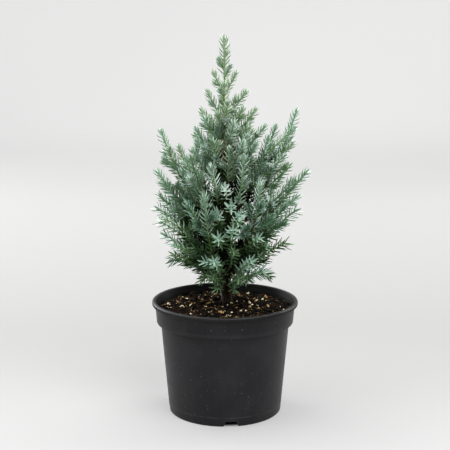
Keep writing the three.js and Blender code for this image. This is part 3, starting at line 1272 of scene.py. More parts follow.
@dataclass(frozen=True)
class Strip:
    """A bent fibre or blade of length 1 that lies level.

    Args:
        bend: how far its middle stands from the line between its ends.
        width: its width.
        thickness: its thickness.
        steps: pieces along it.
    """

    bend: float
    width: float
    thickness: float
    steps: int

    def item(self, name: str) -> bpy.types.Object:
        """Builds the strip.

        Args:
            name: the name of its kind.

        Returns:
            The item.
        """
        course = Course(Vector((-0.5, 0, 0)), Vector((0, self.bend * 2, self.bend)), Vector((0.5, 0, 0)))
        shares = [i / self.steps for i in range(self.steps + 1)]
        least, margin = 0.25, 0.12

        def radius_at(ring: int, angle: float) -> float:
            """Half the width at the sides and half the thickness between them, less towards both ends."""
            oval = self.width / 2 if abs(math.cos(angle)) > 0.5 else self.thickness / 2
            swell = math.sin(math.pi * (margin + (1 - 2 * margin) * shares[ring]))
            return oval * (least + (1 - least) * swell)

        places = [(course.point(share), course.slope(share)) for share in shares]
        return mesh_object(f"{name}_item", *fluted_tube(places, radius_at, 4))


class Form(Enum):
    """The forms of what lies on the soil."""

    LUMP = Lump(0.8)
    CHIP = Lump(0.38)
    BLADE = Strip(bend=0.22, width=0.16, thickness=0.05, steps=3)
    FIBRE = Strip(bend=0.3, width=0.045, thickness=0.045, steps=7)


def scatter_tree() -> GeometryTree:
    """Builds the group that strews an object over a surface.

    Returns:
        The group.
    """
    tree = GeometryTree("scatter_litter", {
        "Item": bpy.types.Object, "Density": float, "Smallest": float, "Largest": float,
        "Tilt": float, "Sink": float, "Finish": bpy.types.Material, "Seed": int,
    })
    whole_turn = 6.283
    seed, smallest, tilt = tree.given("Seed"), tree.given("Smallest"), tree.given("Tilt")
    density = tree.given("Density") * tree.attribute("open_ground")
    spots = tree.node("GeometryNodeDistributePointsOnFaces", {"distribute_method": "RANDOM"}, {
        "Mesh": tree.given("Geometry"), "Density": density, "Seed": seed})
    size = tree.chance(0, 1, 1) ** 2 * (tree.given("Largest") - smallest) + smallest
    turn = tree.chance(0, whole_turn, 2)
    rotation = tree.node("FunctionNodeAxisAngleToRotation", values={"Axis": (0, 0, 1), "Angle": turn})
    rotation = tree.turned(rotation, (1, 0, 0), tree.chance(-1, 1, 3) * tilt)
    rotation = tree.turned(rotation, (0, 1, 0), tree.chance(-1, 1, 4) * tilt)
    laid = tree.copies(spots, "Item", rotation, tree.vector(size, size, size))
    down = tree.vector(z=size * tree.given("Sink") * -MM)
    values = {0: laid, "Translation": down, "Local Space": False}
    sunk = tree.node("GeometryNodeTranslateInstances", values=values)
    tree.ends_in(tree.finished(tree.realized(sunk), "Finish"))
    return tree


@dataclass(frozen=True)
class Litter:
    """One kind of thing that lies on the soil.

    Args:
        name: the piece's name.
        form: its form.
        finish: its finish.
        per_square_cm: how many lie on a square centimetre.
        smallest: the least size in millimetres.
        largest: the greatest size in millimetres.
        tilt: how far it may lean, in radians.
        sink: how deep it sits, as a share of its size.
    """

    name: str
    form: Form
    finish: Plain | Mottled
    per_square_cm: float
    smallest: float
    largest: float
    tilt: float = 3.1
    sink: float = 0.0

    def strew(self, ground: bpy.types.Object, scatter: GeometryTree, seed: int) -> bpy.types.Object:
        """Lays the items over the ground.

        Args:
            ground: the soil.
            scatter: the group that does it.
            seed: the seed for the random places.

        Returns:
            All the items as one piece.
        """
        square_cm_per_square_metre = 10000
        item = self.form.value.item(self.name)
        made = scatter.run(
            linked(f"{self.name}_bed", ground.data.copy()), self.name, item=item,
            density=self.per_square_cm * square_cm_per_square_metre, smallest=self.smallest,
            largest=self.largest, tilt=self.tilt, sink=self.sink, finish=self.finish.material(), seed=seed)
        bpy.data.objects.remove(item)
        return made


LITTER = (
    Litter(
        "soil_crumbs", Form.LUMP, Mottled("crumb", (10, 8, 6), (46, 36, 27), 2.2, 0.9),
        19, 0.6, 2.6, sink=0.15),
    Litter(
        "soil_clods", Form.LUMP, Mottled("clod", (9, 7, 6), (40, 31, 23), 3.0, 0.95),
        5.5, 2.4, 7.0, sink=0.25),
    Litter(
        "soil_perlite", Form.LUMP, Mottled("perlite", (242, 234, 212), (206, 190, 158), 1.6, 0.7),
        0.8, 1.0, 3.4),
    Litter(
        "soil_bark_chips", Form.CHIP, Mottled("bark_chip", (192, 166, 128), (104, 82, 58), 1.6, 0.85),
        1.3, 1.2, 5.6, 0.9),
    Litter(
        "soil_bark_dark", Form.CHIP, Mottled("bark_dark", (70, 52, 36), (28, 21, 15), 1.6, 0.85),
        3.4, 1.2, 5.0, 1.2),
    Litter(
        "soil_moss", Form.BLADE, Plain("moss", (92, 118, 50), 0.7),
        1.5, 1.4, 4.2, 0.8),
    Litter(
        "soil_fibres", Form.FIBRE, Mottled("fibre", (166, 132, 88), (98, 74, 48), 2.4, 0.8),
        1.5, 3.5, 9.5, 0.45),
)


# The plant: its limbs


@dataclass(frozen=True)
class Habit:
    """How a limb bends on its way out.

    Args:
        bow: how far out its elbow stands, as a share of its reach.
        lift: how high its elbow stands, as a share of its rise.
        arch: what is added to that height.
        youth: how far the tips of its shoots are still closed, from 0 to 1.
    """

    bow: float
    lift: float
    arch: float
    youth: float


class Growth(Enum):
    """The habits that the source names."""

    UPRIGHT = Habit(0.62, 0.35, 0, 1)
    STANDING = Habit(0.9, 0.3, 0, 0.95)
    SPREADING = Habit(0.52, 0.44, 0, 0.8)
    LEVEL = Habit(0.55, 0.66, 4, 0.38)
    DROOPING = Habit(0.6, 0.5, 24, 0.5)
    CLIMBING = Habit(0.58, 0.42, 0, 1)


class Quarter(Enum):
    """The parts of the crown, each with its own pieces."""

    TOP = "top"
    SHOULDERS = "shoulders"
    RIGHT = "right"
    LEFT = "left"
    LOW_FRONT = "low_front"
    LOW_BACK = "low_back"


UPRIGHT, STANDING, SPREADING, LEVEL, DROOPING, CLIMBING = Growth
TOP, SHOULDERS, RIGHT, LEFT, LOW_FRONT, LOW_BACK = Quarter


@dataclass(frozen=True)
class Limb:
    """A limb of the plant.

    Args:
        azimuth: the direction that it takes, in degrees.
        root: the height where it leaves the trunk.
        reach: how far from the axis its tip stands.
        tip: its tip's height.
        growth: its habit.
        quarter: the part of the crown that it belongs to.
        name: its name, or nothing for a shoot that has no solid of its own.
        bough: whether its lower part is a bough of wood.
    """

    azimuth: float
    root: float
    reach: float
    tip: float
    growth: Growth
    quarter: Quarter
    name: str = ""
    bough: bool = False


def shoots_of(quarter: Quarter, *rows: tuple) -> list[Limb]:
    """Shoots without names, in one part of the crown, from rows of azimuth, root, reach, tip and habit."""
    return [Limb(*row, quarter) for row in rows]


LIMBS = [
    Limb(358, 154, 62.5, 271.6, UPRIGHT, SHOULDERS, "shoulder_right", True),
    Limb(181, 152, 56.5, 254.3, UPRIGHT, SHOULDERS, "shoulder_left", True),
    Limb(66, 149, 46, 252, UPRIGHT, SHOULDERS, "shoulder_back_right", True),
    Limb(122, 145, 50, 238, UPRIGHT, SHOULDERS, "shoulder_back_left", True),
    Limb(222, 144, 45, 234, UPRIGHT, SHOULDERS, "shoulder_front_left", True),
    Limb(249, 131, 48, 205, STANDING, LEFT, "front_left", True),
    Limb(304, 136, 53, 214, STANDING, RIGHT, "front_right", True),
    Limb(352, 140, 72.5, 219, SPREADING, RIGHT, "right", True),
    Limb(186, 137, 60, 218, SPREADING, LEFT, "left", True),
    Limb(94, 138, 60, 205, SPREADING, LEFT, "back", True),
    Limb(34, 132, 64, 212, SPREADING, RIGHT, "back_right", True),
    Limb(154, 129, 60, 204, SPREADING, LEFT, "back_left", True),
    Limb(328, 126, 62, 193, SPREADING, RIGHT, "right_front", True),
    Limb(6, 118, 65, 181, LEVEL, LOW_FRONT, "low_right_upper"),
    Limb(346, 112, 56, 155, LEVEL, LOW_FRONT, "low_right"),
    Limb(356, 104, 42, 120.5, DROOPING, LOW_FRONT, "low_right_droop"),
    Limb(174, 121, 61, 183, LEVEL, LOW_BACK, "low_left_upper"),
    Limb(190, 110, 55, 162, LEVEL, LOW_BACK, "low_left"),
    Limb(178, 103, 49.5, 135, DROOPING, LOW_BACK, "low_left_droop"),
    Limb(277, 118, 56, 175, LEVEL, LOW_FRONT, "low_front_upper"),
    Limb(259, 110, 52, 147, LEVEL, LOW_FRONT, "low_front_left"),
    Limb(296, 108, 52, 146, LEVEL, LOW_FRONT, "low_front_right"),
    Limb(236, 103, 38, 124, DROOPING, LOW_FRONT, "low_front_droop"),
    Limb(217, 115, 56, 158, LEVEL, LOW_FRONT, "low_side_left"),
    Limb(138, 108, 52, 144, LEVEL, LOW_BACK, "low_back_left"),
    Limb(88, 114, 55, 152, LEVEL, LOW_BACK, "low_back"),
    Limb(44, 106, 52, 142, LEVEL, LOW_BACK, "low_back_right"),
]

SHOOTS = [
    # Stars and sprays that face the camera
    *shoots_of(
        LOW_FRONT,
        (250, 116, 51, 203, STANDING),
        (293, 150, 43, 236, UPRIGHT),
        (253, 160, 40, 229, UPRIGHT),
        (277, 186, 30, 243, UPRIGHT),
        (223, 158, 41, 236, UPRIGHT),
        (229, 138, 51, 195, SPREADING),
        (263, 128, 52, 167, LEVEL),
        (261, 146, 46, 187, LEVEL),
        (284, 142, 55, 187, LEVEL),
        (277, 156, 42, 193, LEVEL),
        (270, 170, 38, 206, LEVEL),
        (280, 120, 45, 154, LEVEL),
        (303, 126, 54, 166, LEVEL),
        (246, 112, 44, 144, LEVEL),
        (253, 106, 38, 130, LEVEL),
        (289, 106, 38, 128, LEVEL),
        (287, 103, 27, 116, LEVEL),
        (252, 103, 27, 117, LEVEL),
    ),
    # Sprays on the outline, and round the foot of the leader
    *shoots_of(
        SHOULDERS,
        (10, 170, 46, 258, UPRIGHT),
        (352, 204, 61, 255, SPREADING),
        (10, 194, 60, 244, SPREADING),
        (344, 184, 54, 233, SPREADING),
        (343, 166, 40, 251, UPRIGHT),
        (12, 172, 60, 221, SPREADING),
        (172, 186, 55, 234, SPREADING),
        (199, 156, 43, 243, UPRIGHT),
        (165, 176, 55, 226, SPREADING),
        (210, 146, 44, 222, UPRIGHT),
    ),
    *shoots_of(
        RIGHT,
        (351, 160, 64, 211, SPREADING),
        (9, 146, 67, 194, SPREADING),
    ),
    *shoots_of(
        LEFT,
        (188, 158, 58, 209, SPREADING),
        (170, 146, 61, 195, SPREADING),
        (190, 120, 59, 174, LEVEL),
    ),
    *shoots_of(
        TOP,
        (324, 244, 20.5, 275, CLIMBING),
        (320, 224, 28.5, 259, CLIMBING),
        (319, 204, 37, 245, CLIMBING),
        (308, 212, 31, 252, CLIMBING),
        (218, 234, 23, 266, CLIMBING),
        (212, 216, 30, 247, CLIMBING),
        (208, 200, 33, 239, CLIMBING),
        (247, 208, 28, 248, CLIMBING),
        (295, 222, 22, 256, CLIMBING),
        (243, 244, 13.5, 270, CLIMBING),
        (320, 254, 12.5, 283, CLIMBING),
        (60, 238, 21, 270, CLIMBING),
        (132, 232, 20, 264, CLIMBING),
        (150, 212, 28, 250, CLIMBING),
        (40, 214, 33, 252, CLIMBING),
        (90, 216, 27, 256, CLIMBING),
    ),
    # Sprays at the back and low at both sides
    *shoots_of(
        LOW_BACK,
        (100, 200, 18, 236, UPRIGHT),
        (118, 184, 26, 226, UPRIGHT),
        (74, 178, 24, 212, UPRIGHT),
        (104, 176, 38, 232, UPRIGHT),
        (62, 168, 42, 222, UPRIGHT),
        (140, 165, 41, 214, UPRIGHT),
        (76, 140, 55, 180, LEVEL),
        (112, 128, 54, 168, LEVEL),
        (60, 122, 54, 160, LEVEL),
        (160, 132, 56, 176, LEVEL),
        (128, 104, 34, 122, DROOPING),
        (200, 126, 57, 178, LEVEL),
        (206, 112, 50, 146, LEVEL),
        (216, 122, 42, 164, LEVEL),
        (226, 118, 40, 154, LEVEL),
        (322, 116, 46, 154, LEVEL),
        (310, 116, 42, 160, LEVEL),
        (336, 128, 52, 172, LEVEL),
        (318, 106, 46, 134, LEVEL),
    ),
    # Short sprays inside the crown, and two beside the leader
    *shoots_of(
        LOW_FRONT,
        (223, 122, 38, 159, SPREADING),
        (236, 118, 37, 154, SPREADING),
        (209, 118, 41, 152, LEVEL),
        (244, 120, 28, 152, SPREADING),
        (229, 134, 28, 167, UPRIGHT),
        (196, 116, 30, 141, LEVEL),
        (303, 120, 32, 154, SPREADING),
        (320, 116, 35, 150, LEVEL),
        (305, 128, 25, 161, UPRIGHT),
        (326, 118, 43, 155, LEVEL),
        (28, 164, 30, 205, UPRIGHT),
        (50, 172, 17, 213, UPRIGHT),
    ),
    *shoots_of(
        TOP,
        (184, 303, 6, 315.5, CLIMBING),
        (355, 297, 6, 309.5, CLIMBING),
    ),
]


@dataclass(frozen=True)
class TopPairs:
    """The pairs of sprays that climb the leader."""

    count: int = 8
    first_reach: float = 10.5
    reach_step: float = 4.6
    slimmer_left: float = 0.4
    first_tip: float = 304
    tip_step: float = 8
    first_rise: float = 21
    rise_step: float = 2.6
    first_azimuth: float = -6
    turn: float = 94

    def limbs(self) -> list[Limb]:
        """Works out the sprays.

        Returns:
            The sprays as limbs, with the source's names.
        """
        made = []
        for level in range(self.count):
            tip = self.first_tip - self.tip_step * level
            root = tip - self.first_rise - self.rise_step * level
            for side, letter in enumerate("ab"):
                azimuth = self.first_azimuth + self.turn * level + 180 * side
                slimming = 1 - self.slimmer_left * max(0, -outward(azimuth).x)
                reach = self.first_reach + self.reach_step * level * slimming
                made.append(Limb(azimuth, root, reach, tip, CLIMBING, TOP, f"top_{level + 1}_{letter}"))
        return made


@dataclass
class Trunk:
    """The leaning trunk, from its flat cut on the soil to the foot of the leading shoot."""

    foot: float = 98
    top: float = 298
    foot_x: float = 1.2
    top_x: float = -0.5
    sway: float = 0.8
    bend: float = -1.5
    foot_radius: float = 4.4
    top_radius: float = 0.75
    taper_power: float = 1.5
    flare: float = 1.5
    flare_height: float = 3
    leader_tip: tuple[float, float, float] = (-0.9, 0, 333.4)
    leader_bow: float = 0.4

    def axis(self, z: float) -> Vector:
        """Finds the middle of the trunk.

        Args:
            z: the height.

        Returns:
            The point.
        """
        h = (z - self.foot) / (self.top - self.foot)
        x = self.foot_x + (self.top_x - self.foot_x) * h + self.sway * math.sin(2 * math.pi * h)
        return Vector((x, self.bend * math.sin(math.pi * h), z))

    def radius(self, z: float) -> float:
        """Works out the trunk's radius.

        Args:
            z: the height.

        Returns:
            The radius, with the flare at the foot.
        """
        h = min(1.0, max(0.0, (z - self.foot) / (self.top - self.foot)))
        taper = (self.foot_radius - self.top_radius) * (1 - h) ** self.taper_power
        return self.top_radius + taper + self.flare * math.exp((self.foot - z) / self.flare_height)

    def leader(self) -> Course:
        """Lays out the leading shoot.

        Returns:
            Its course, from the tip of the trunk.
        """
        foot, tip = self.axis(self.top), Vector(self.leader_tip)
        elbow = foot.lerp(tip, 0.5)
        elbow.x = foot.x + self.leader_bow
        return Course(foot, elbow, tip)

    def course(self, limb: Limb) -> Course:
        """Lays out a limb.

        Args:
            limb: the limb.

        Returns:
            Its whole course, from the trunk's axis to its tip.
        """
        start = self.axis(limb.root)
        out = outward(limb.azimuth)
        habit = limb.growth.value
        elbow = start + out * (limb.reach * habit.bow)
        elbow.z += (limb.tip - limb.root) * habit.lift + habit.arch
        tip = out * limb.reach
        tip.z = limb.tip
        return Course(start, elbow, tip)


@dataclass(frozen=True)
class Ridges:
    """How stringy bark stands out and sinks in.

    Args:
        relief: the depth of the clefts, as a share of the radius.
        around: how close the broad ridges stand round the wood.
        length: how far a broad ridge runs.
        strands: how much closer the strands stand.
        strand_length: how far a strand runs.
        strand_layer: the strands' own level in the noise.
        middle: what the two add up to where the radius stays as it is.
    """

    relief: float
    around: float = 2.6
    length: float = 13
    strands: float = 2.2
    strand_length: float = 6
    strand_layer: float = 7
    middle: float = 0.6

    def factor(self, place: Vector, angle: float, roughness: float = 1.0) -> float:
        """Works out how far the bark stands out.

        Args:
            place: the middle of the ring.
            angle: the direction round it.
            roughness: a factor on the relief.

        Returns:
            A factor on the radius.
        """
        x, y = math.cos(angle) * self.around, math.sin(angle) * self.around
        broad = noise.noise(Vector((x, y, place.length / self.length)))
        level = place.length / self.strand_length + self.strand_layer
        strands = 1 - abs(2 * noise.noise(Vector((x * self.strands, y * self.strands, level))))
        return 1 + self.relief * roughness * (broad + strands - self.middle)


@dataclass
class Wood:
    """The bark of the trunk and the boughs."""

    trunk: Trunk
    trunk_ridges: Ridges = Ridges(0.13)
    trunk_sides: int = 36
    trunk_step: float = 1.1
    sunk: float = 2
    roots: int = 3
    root_swell: float = 0.12
    root_height: float = 5
    smooth_from: float = 262
    smoothing: float = 60
    least_rough: float = 0.15
    bough_ridges: Ridges = Ridges(0.16)
    bough_sides: int = 20
    bough_step: float = 1.2
    bough_foot_radius: float = 2.1
    bough_tip_radius: float = 1.15
    collar: float = 0.5
    collar_length: float = 5
    crease: float = 60

    def trunk_tube(self) -> Shape:
        """Shapes the trunk with its bark relief.

        Returns:
            The trunk's points and faces.
        """
        trunk = self.trunk
        heights = np.arange(trunk.foot - self.sunk, trunk.top + self.trunk_step, self.trunk_step)
        places = [(trunk.axis(float(z)), UP) for z in heights]

        def radius_at(ring: int, angle: float) -> float:
            """Works out the radius, with roots that swell at the foot.

            Args:
                ring: the ring's number.
                angle: the angle round it.

            Returns:
                The radius.
            """
            z = float(heights[ring])
            spread = self.root_swell * math.exp((trunk.foot - z) / self.root_height)
            swell = spread * math.sin(self.roots * angle + 1)
            rough = min(1.0, max(self.least_rough, (self.smooth_from - z) / self.smoothing))
            factor = self.trunk_ridges.factor(places[ring][0], angle, rough)
            return trunk.radius(max(z, trunk.foot)) * (factor + swell)

        return fluted_tube(places, radius_at, self.trunk_sides)

    def bough_tube(self, limb: Limb) -> Shape:
        """Shapes a bough with its bark relief and a swollen collar at the trunk.

        Args:
            limb: the limb whose lower part it is.

        Returns:
            The bough's points and faces.
        """
        course = self.trunk.course(limb).stretch(0, BOUGH_SHARE)
        count = round(course.length / self.bough_step)
        shares = [i / count for i in range(count + 1)]
        places = [course.at(share) for share in shares]

        def radius_at(ring: int, angle: float) -> float:
            """The tapering radius."""
            taper = self.bough_foot_radius + (self.bough_tip_radius - self.bough_foot_radius) * shares[ring]
            collar = self.collar * math.exp(-shares[ring] * course.length / self.collar_length)
            return (taper + collar) * self.bough_ridges.factor(places[ring][0], angle)

        return fluted_tube(places, radius_at, self.bough_sides)

    def build(self) -> list[bpy.types.Object]:
        """Builds the trunk and the boughs.

        Returns:
            The pieces.
        """
        finish = Bark().material()
        boughs = [limb for limb in LIMBS if limb.bough]
        trunk = mesh_object("trunk_bark", *self.trunk_tube())
        branches = mesh_object("bough_bark", *joined(self.bough_tube(limb) for limb in boughs))
        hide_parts("trunk")
        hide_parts(*(f"bough_{limb.name}" for limb in boughs))
        for piece in (trunk, branches):
            piece.data.materials.append(finish)
            piece.data.shade_smooth()
            piece.data.set_sharp_from_angle(angle=math.radians(self.crease))
            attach(piece, BODY)
        return [trunk, branches]


# The plant: its shoots


@dataclass(frozen=True)
class Branching:
    """The rule by which twigs leave a stem, each at a golden angle from the last.

    Args:
        spacing: the length of stem for each twig.
        first: where the first may stand, as a share of the stem.
        last: where the last may stand.
        longest: the greatest length.
        share: the length as a share of the stem's, where that is less.
        free_tip: the length of stem that stays without twigs at its tip.
        shortening: how much shorter a twig is that stands at the stem's tip, as a share.
        lean_out: the angle between a twig and the stem, in degrees.
        lean_spread: how far that angle may differ.
        length_spread: how far a length may differ, as a share.
        upturn: how far the tip of a level twig rises, as a share of its length.
    """

    spacing: float
    first: float
    last: float
    longest: float
    share: float
    free_tip: float = 24
    shortening: float = 0.5
    lean_out: float = 46
    lean_spread: float = 8
    length_spread: float = 0.2
    upturn: float = 0.3

    def twigs(self, stem: Course, first: float, dice: Dice) -> list[Course]:
        """The twigs of a stem.

        Args:
            stem: the stem's course.
            first: the bare share of the stem.
            dice: the random numbers.

        Returns:
            The twigs' courses.
        """
        start = max(self.first, first)
        last = min(self.last, 1 - self.free_tip / stem.length)
        count = max(0, round(stem.length * (last - start) / self.spacing))
        made = []
        turn = 360 * dice.next()
        for i in range(count):
            along = start + (last - start) * (i + 0.5) / count
            root, heading = stem.at(along)
            level = UP.cross(heading)
            upright = level.length_squared < 0.01
            side = ACROSS.copy() if upright else level.normalized()
            side.rotate(Matrix.Rotation(math.radians(turn), 3, heading))
            lean = math.radians(dice.about(self.lean_out, self.lean_spread))
            size = min(self.longest, self.share * stem.length) * (1 - self.shortening * along)
            reach = size * dice.about(1, self.length_spread)
            way = heading * math.cos(lean) + side * math.sin(lean)
            tip = root + way * reach
            tip.z += self.upturn * reach * (1 - abs(way.z))
            made.append(Course(root, root + way * (reach / 2), tip))
            turn += GOLDEN_ANGLE
        return made


@dataclass(frozen=True)
class Shoot:
    """A shoot with its needles.

    Args:
        course: where it runs, up to the tips of its last needles until it is put in the crown.
        girth: the stem's radius at its foot and at its tip, or nothing where the bark has it.
        bare: the share of its foot without needles.
        vigour: a factor on its needles' length.
        shade: the shade of its needles.
        brown: whether its stem has turned brown.
        youth: how far its tip is still closed, from 0 to 1.
        thrift: a factor on the gaps between its whorls.
    """

    course: Course
    girth: tuple[float, float] | None
    bare: float
    vigour: float
    shade: Shade
    brown: bool = False
    youth: float = 1.0
    thrift: float = 1.0


@dataclass(frozen=True)
class Needle:
    """One awl-shaped needle, grooved on the side that faces the stem.

    Args:
        length: its length.
        width: its greatest width.
        stations: along its length, as shares of it: the place, the width as a share, and the bow.
        section: its outline there, in halves of its width, with the groove as the last point.
        tip_bow: how far its tip bends in, as a share of its length.
    """

    length: float = 9.2
    width: float = 1.52
    stations: tuple[tuple[float, float, float], ...] = (
        (0.0, 0.6, 0.0), (0.22, 0.96, -0.03), (0.58, 1.0, -0.035), (0.84, 0.66, -0.01))
    section: tuple[Point, ...] = ((-1, 0.2), (0, -0.55), (1, 0.2), (0, -0.02))
    tip_bow: float = 0.035

    def item(self) -> bpy.types.Object:
        """Builds the needle, which points up.

        Returns:
            The needle, with its upper faces marked.
        """
        points = [
            (x * self.width / 2 * wide, bow * self.length + y * (self.width / 2 * wide), share * self.length)
            for share, wide, bow in self.stations
            for x, y in self.section
        ]
        points.append((0, self.tip_bow * self.length, self.length))
        sides = len(self.section)
        faces = pointed(len(self.stations), sides)
        item = mesh_object("needle", points, faces)
        upper = [any(i % sides == sides - 1 for i in face) for face in faces[:-1]]
        write_attribute(item, "bloom", "BOOLEAN", [*upper, False], "FACE")
        return item


def needle_tree() -> GeometryTree:
    """Builds the group that sets whorls of three needles along lines.

    Returns:
        The group.
    """
    finishes = {socket_name(key): bpy.types.Material for shade in Shade for key in shade.sides}
    tree = GeometryTree("needle_whorls", {
        "Needle": bpy.types.Object, "Foot Spread": float, "Tip Spread": float,
        "Unevenness": float, "Seed": int, **finishes})
    curve = tree.node("GeometryNodeMeshToCurve", values={0: tree.given("Geometry")})
    whorls = tree.node("GeometryNodeCurveToPoints", {"mode": "EVALUATED"}, {0: curve})
    marked = tree.stored(whorls, "heading", whorls.output("Tangent"), "FLOAT_VECTOR")
    marked = tree.stored(marked, "parity", tree.node("GeometryNodeInputIndex") % 2)
    threes = tree.node("GeometryNodeDuplicateElements", {"domain": "POINT"}, {0: marked, "Amount": 3})
    third, sixth = math.tau / 3, math.tau / 6
    uneven, tip_spread = tree.given("Unevenness"), tree.given("Tip Spread")
    turn = threes.output("Duplicate Index") * third + tree.attribute("parity") * sixth
    turn = turn + tree.chance(-1, 1, 1) * uneven
    opening = (tree.given("Foot Spread") - tip_spread) * tree.attribute("opening")
    spread = tip_spread + opening + tree.chance(-1, 1, 2) * uneven * 0.8
    heading = {"Vector": tree.attribute("heading", "FLOAT_VECTOR")}
    stem = tree.node("FunctionNodeAlignRotationToVector", {"axis": "Z"}, heading)
    rotation = tree.turned(tree.turned(stem, (0, 0, 1), turn), (1, 0, 0), spread)
    size = tree.attribute("vigour") * tree.chance(0.84, 1.12, 3)
    scale = tree.vector(size ** 0.5, size ** 0.5, size)
    result = tree.realized(tree.copies(threes, "Needle", rotation, scale))
    bloom = tree.attribute("bloom", "BOOLEAN")
    for number, shade in enumerate(Shade):
        own = tree.node(
            "FunctionNodeCompare", {"data_type": "INT", "operation": "EQUAL"},
            {2: tree.attribute("shade", "INT"), 3: number})
        for key, side in zip(shade.sides, (bloom, 1 - bloom)):
            result = tree.finished(result, socket_name(key), side * own)
    tree.ends_in(result)
    return tree


def twig_tree() -> GeometryTree:
    """Builds the group that turns lines into tapering twigs.

    Returns:
        The group.
    """
    finish = bpy.types.Material
    tree = GeometryTree("twig_tubes", {"Sides": int, "Green": finish, "Brown": finish})
    curve = tree.node("GeometryNodeMeshToCurve", values={0: tree.given("Geometry")})
    ring = tree.node("GeometryNodeCurvePrimitiveCircle", values={
        "Resolution": tree.given("Sides"), "Radius": 1.0})
    tube = tree.node("GeometryNodeCurveToMesh", values={
        "Curve": curve, "Profile Curve": ring, "Scale": tree.attribute("girth"), "Fill Caps": True})
    smooth = tree.node("GeometryNodeSetShadeSmooth", values={0: tube, "Shade Smooth": True})
    green = tree.finished(tree.realized(smooth), "Green")
    tree.ends_in(tree.finished(green, "Brown", tree.attribute("brown", "INT")))
    return tree


@dataclass(frozen=True)
class Layers:
    """How a shoot's own shade gives way to darker ones inside the crown: partly the older inner needles' own
    colour, partly painted shade.

    Args:
        dark_within: the depth that the darkest needles keep to.
        pale_from: the depth from where a shoot shows its own shade.
        between: the shade from one to the other.
    """

    dark_within: float
    pale_from: float
    between: Shade

    def shade(self, depth: float, own: Shade) -> Shade:
        """The shade of the needles at a depth on a shoot with a shade of its own."""
        if depth > self.pale_from:
            return own
        return Shade.SHADED if depth < self.dark_within else self.between


def pick(luck: float, limits: dict[Shade, float], last: Shade) -> Shade:
    """The first shade whose limit is above the luck, or else the last."""
    return next((shade for shade, limit in limits.items() if luck < limit), last)


@dataclass(frozen=True)
class Shading:
    """How the shades are dealt out, by height, by side and by how far out a place stands in the crown; the
    darker greens inside, low down and on sprays that face the lamps are partly painted shade.
    """

    half_width: float = 64
    flattening: float = 0.88
    top_from: float = 160
    top_fade: float = 130
    foot_to: float = 150
    foot_fade: float = 75
    leader_from: float = 262
    upper_from: float = 236
    upper_luck: float = 0.55
    shoulders_from: float = 228
    shoulders_out: float = 34
    inner_to: float = 0.5
    inner_grey_from: float = 170
    mossy_to: float = 0.66
    mossy_below: float = 180
    mossy_luck: float = 0.6
    front: float = -24
    bright_front: float = -28
    back: float = 28
    stars_below: float = 200
    mixed_below: float = 135
    foot_below: float = 132
    flank_below: float = 158
    flank_out: float = 30
    low_to: float = 176
    low_layers: Layers = Layers(0.4, 0.63, Shade.MOSS)
    high_layers: Layers = Layers(0.6, 0.7, Shade.GREY)

    def depth(self, place: Vector) -> float:
        """Works out how far out in the crown a place stands.

        Args:
            place: the place.

        Returns:
            0 at the axis and 1 at the outside, and more towards the top and the foot.
        """
        out = math.hypot(place.x, self.flattening * place.y) / self.half_width
        above = (place.z - self.top_from) / self.top_fade
        below = (self.foot_to - place.z) / self.foot_fade
        return out + max(0, above, below)

    def spray(self, tip: Vector, luck: float) -> Shade:
        """Deals a spray its shade.

        Args:
            tip: where the spray ends.
            luck: a random number from 0 to 1.

        Returns:
            The shade.
        """
        depth = self.depth(tip)
        flank = abs(tip.x) > self.flank_out
        if tip.z > self.leader_from or (tip.z > self.upper_from and luck < self.upper_luck):
            return pick(luck, {Shade.FRESH: 0.7}, Shade.BLUE)
        if tip.z > self.shoulders_from and abs(tip.x) > self.shoulders_out:
            return Shade.BLUE
        # Here and in the next rule, sprays deep in the crown get darker greens: partly older needles' own
        # colour, partly painted shade.
        if depth < self.inner_to:
            lighter = Shade.MOSS if tip.z < self.inner_grey_from else Shade.GREY
            return pick(luck, {Shade.SHADED: 0.35}, lighter)
        if depth < self.mossy_to and tip.z < self.mossy_below and luck < self.mossy_luck:
            return Shade.MOSS
        # Low sprays in front, which face the lamps, get the darker STAR and MOSS greens: partly painted shade.
        if tip.y < self.front and tip.z < self.mixed_below:
            return pick(luck, {Shade.STAR: 0.45}, Shade.MOSS)
        if tip.y < self.front and tip.z < self.stars_below:
            return Shade.STAR
        # Low and flank sprays get MOSS, darker and greener: partly their own tint, partly painted shade.
        if tip.z < self.foot_below or (tip.z < self.flank_below and flank):
            return pick(luck, {Shade.MOSS: 0.7}, Shade.STAR if flank else Shade.SHADED)
        # At the back, too, low sprays that face the lamps get the darker STAR green: painted shade.
        if tip.y > self.back and tip.z < self.stars_below:
            return Shade.STAR
        if tip.y < self.bright_front:
            return pick(luck, {Shade.PALE: 0.5, Shade.BLUE: 0.85}, Shade.GREY)
        return pick(luck, {Shade.BLUE: 0.45, Shade.GREY: 0.75}, Shade.PALE)

    def needle(self, place: Vector, own: Shade) -> Shade:
        """The shade of the needles at a place on a shoot with a shade of its own, darker deeper in the crown
        as partly painted shade.
        """
        layers = self.low_layers if place.z < self.low_to else self.high_layers
        return layers.shade(self.depth(place), own)


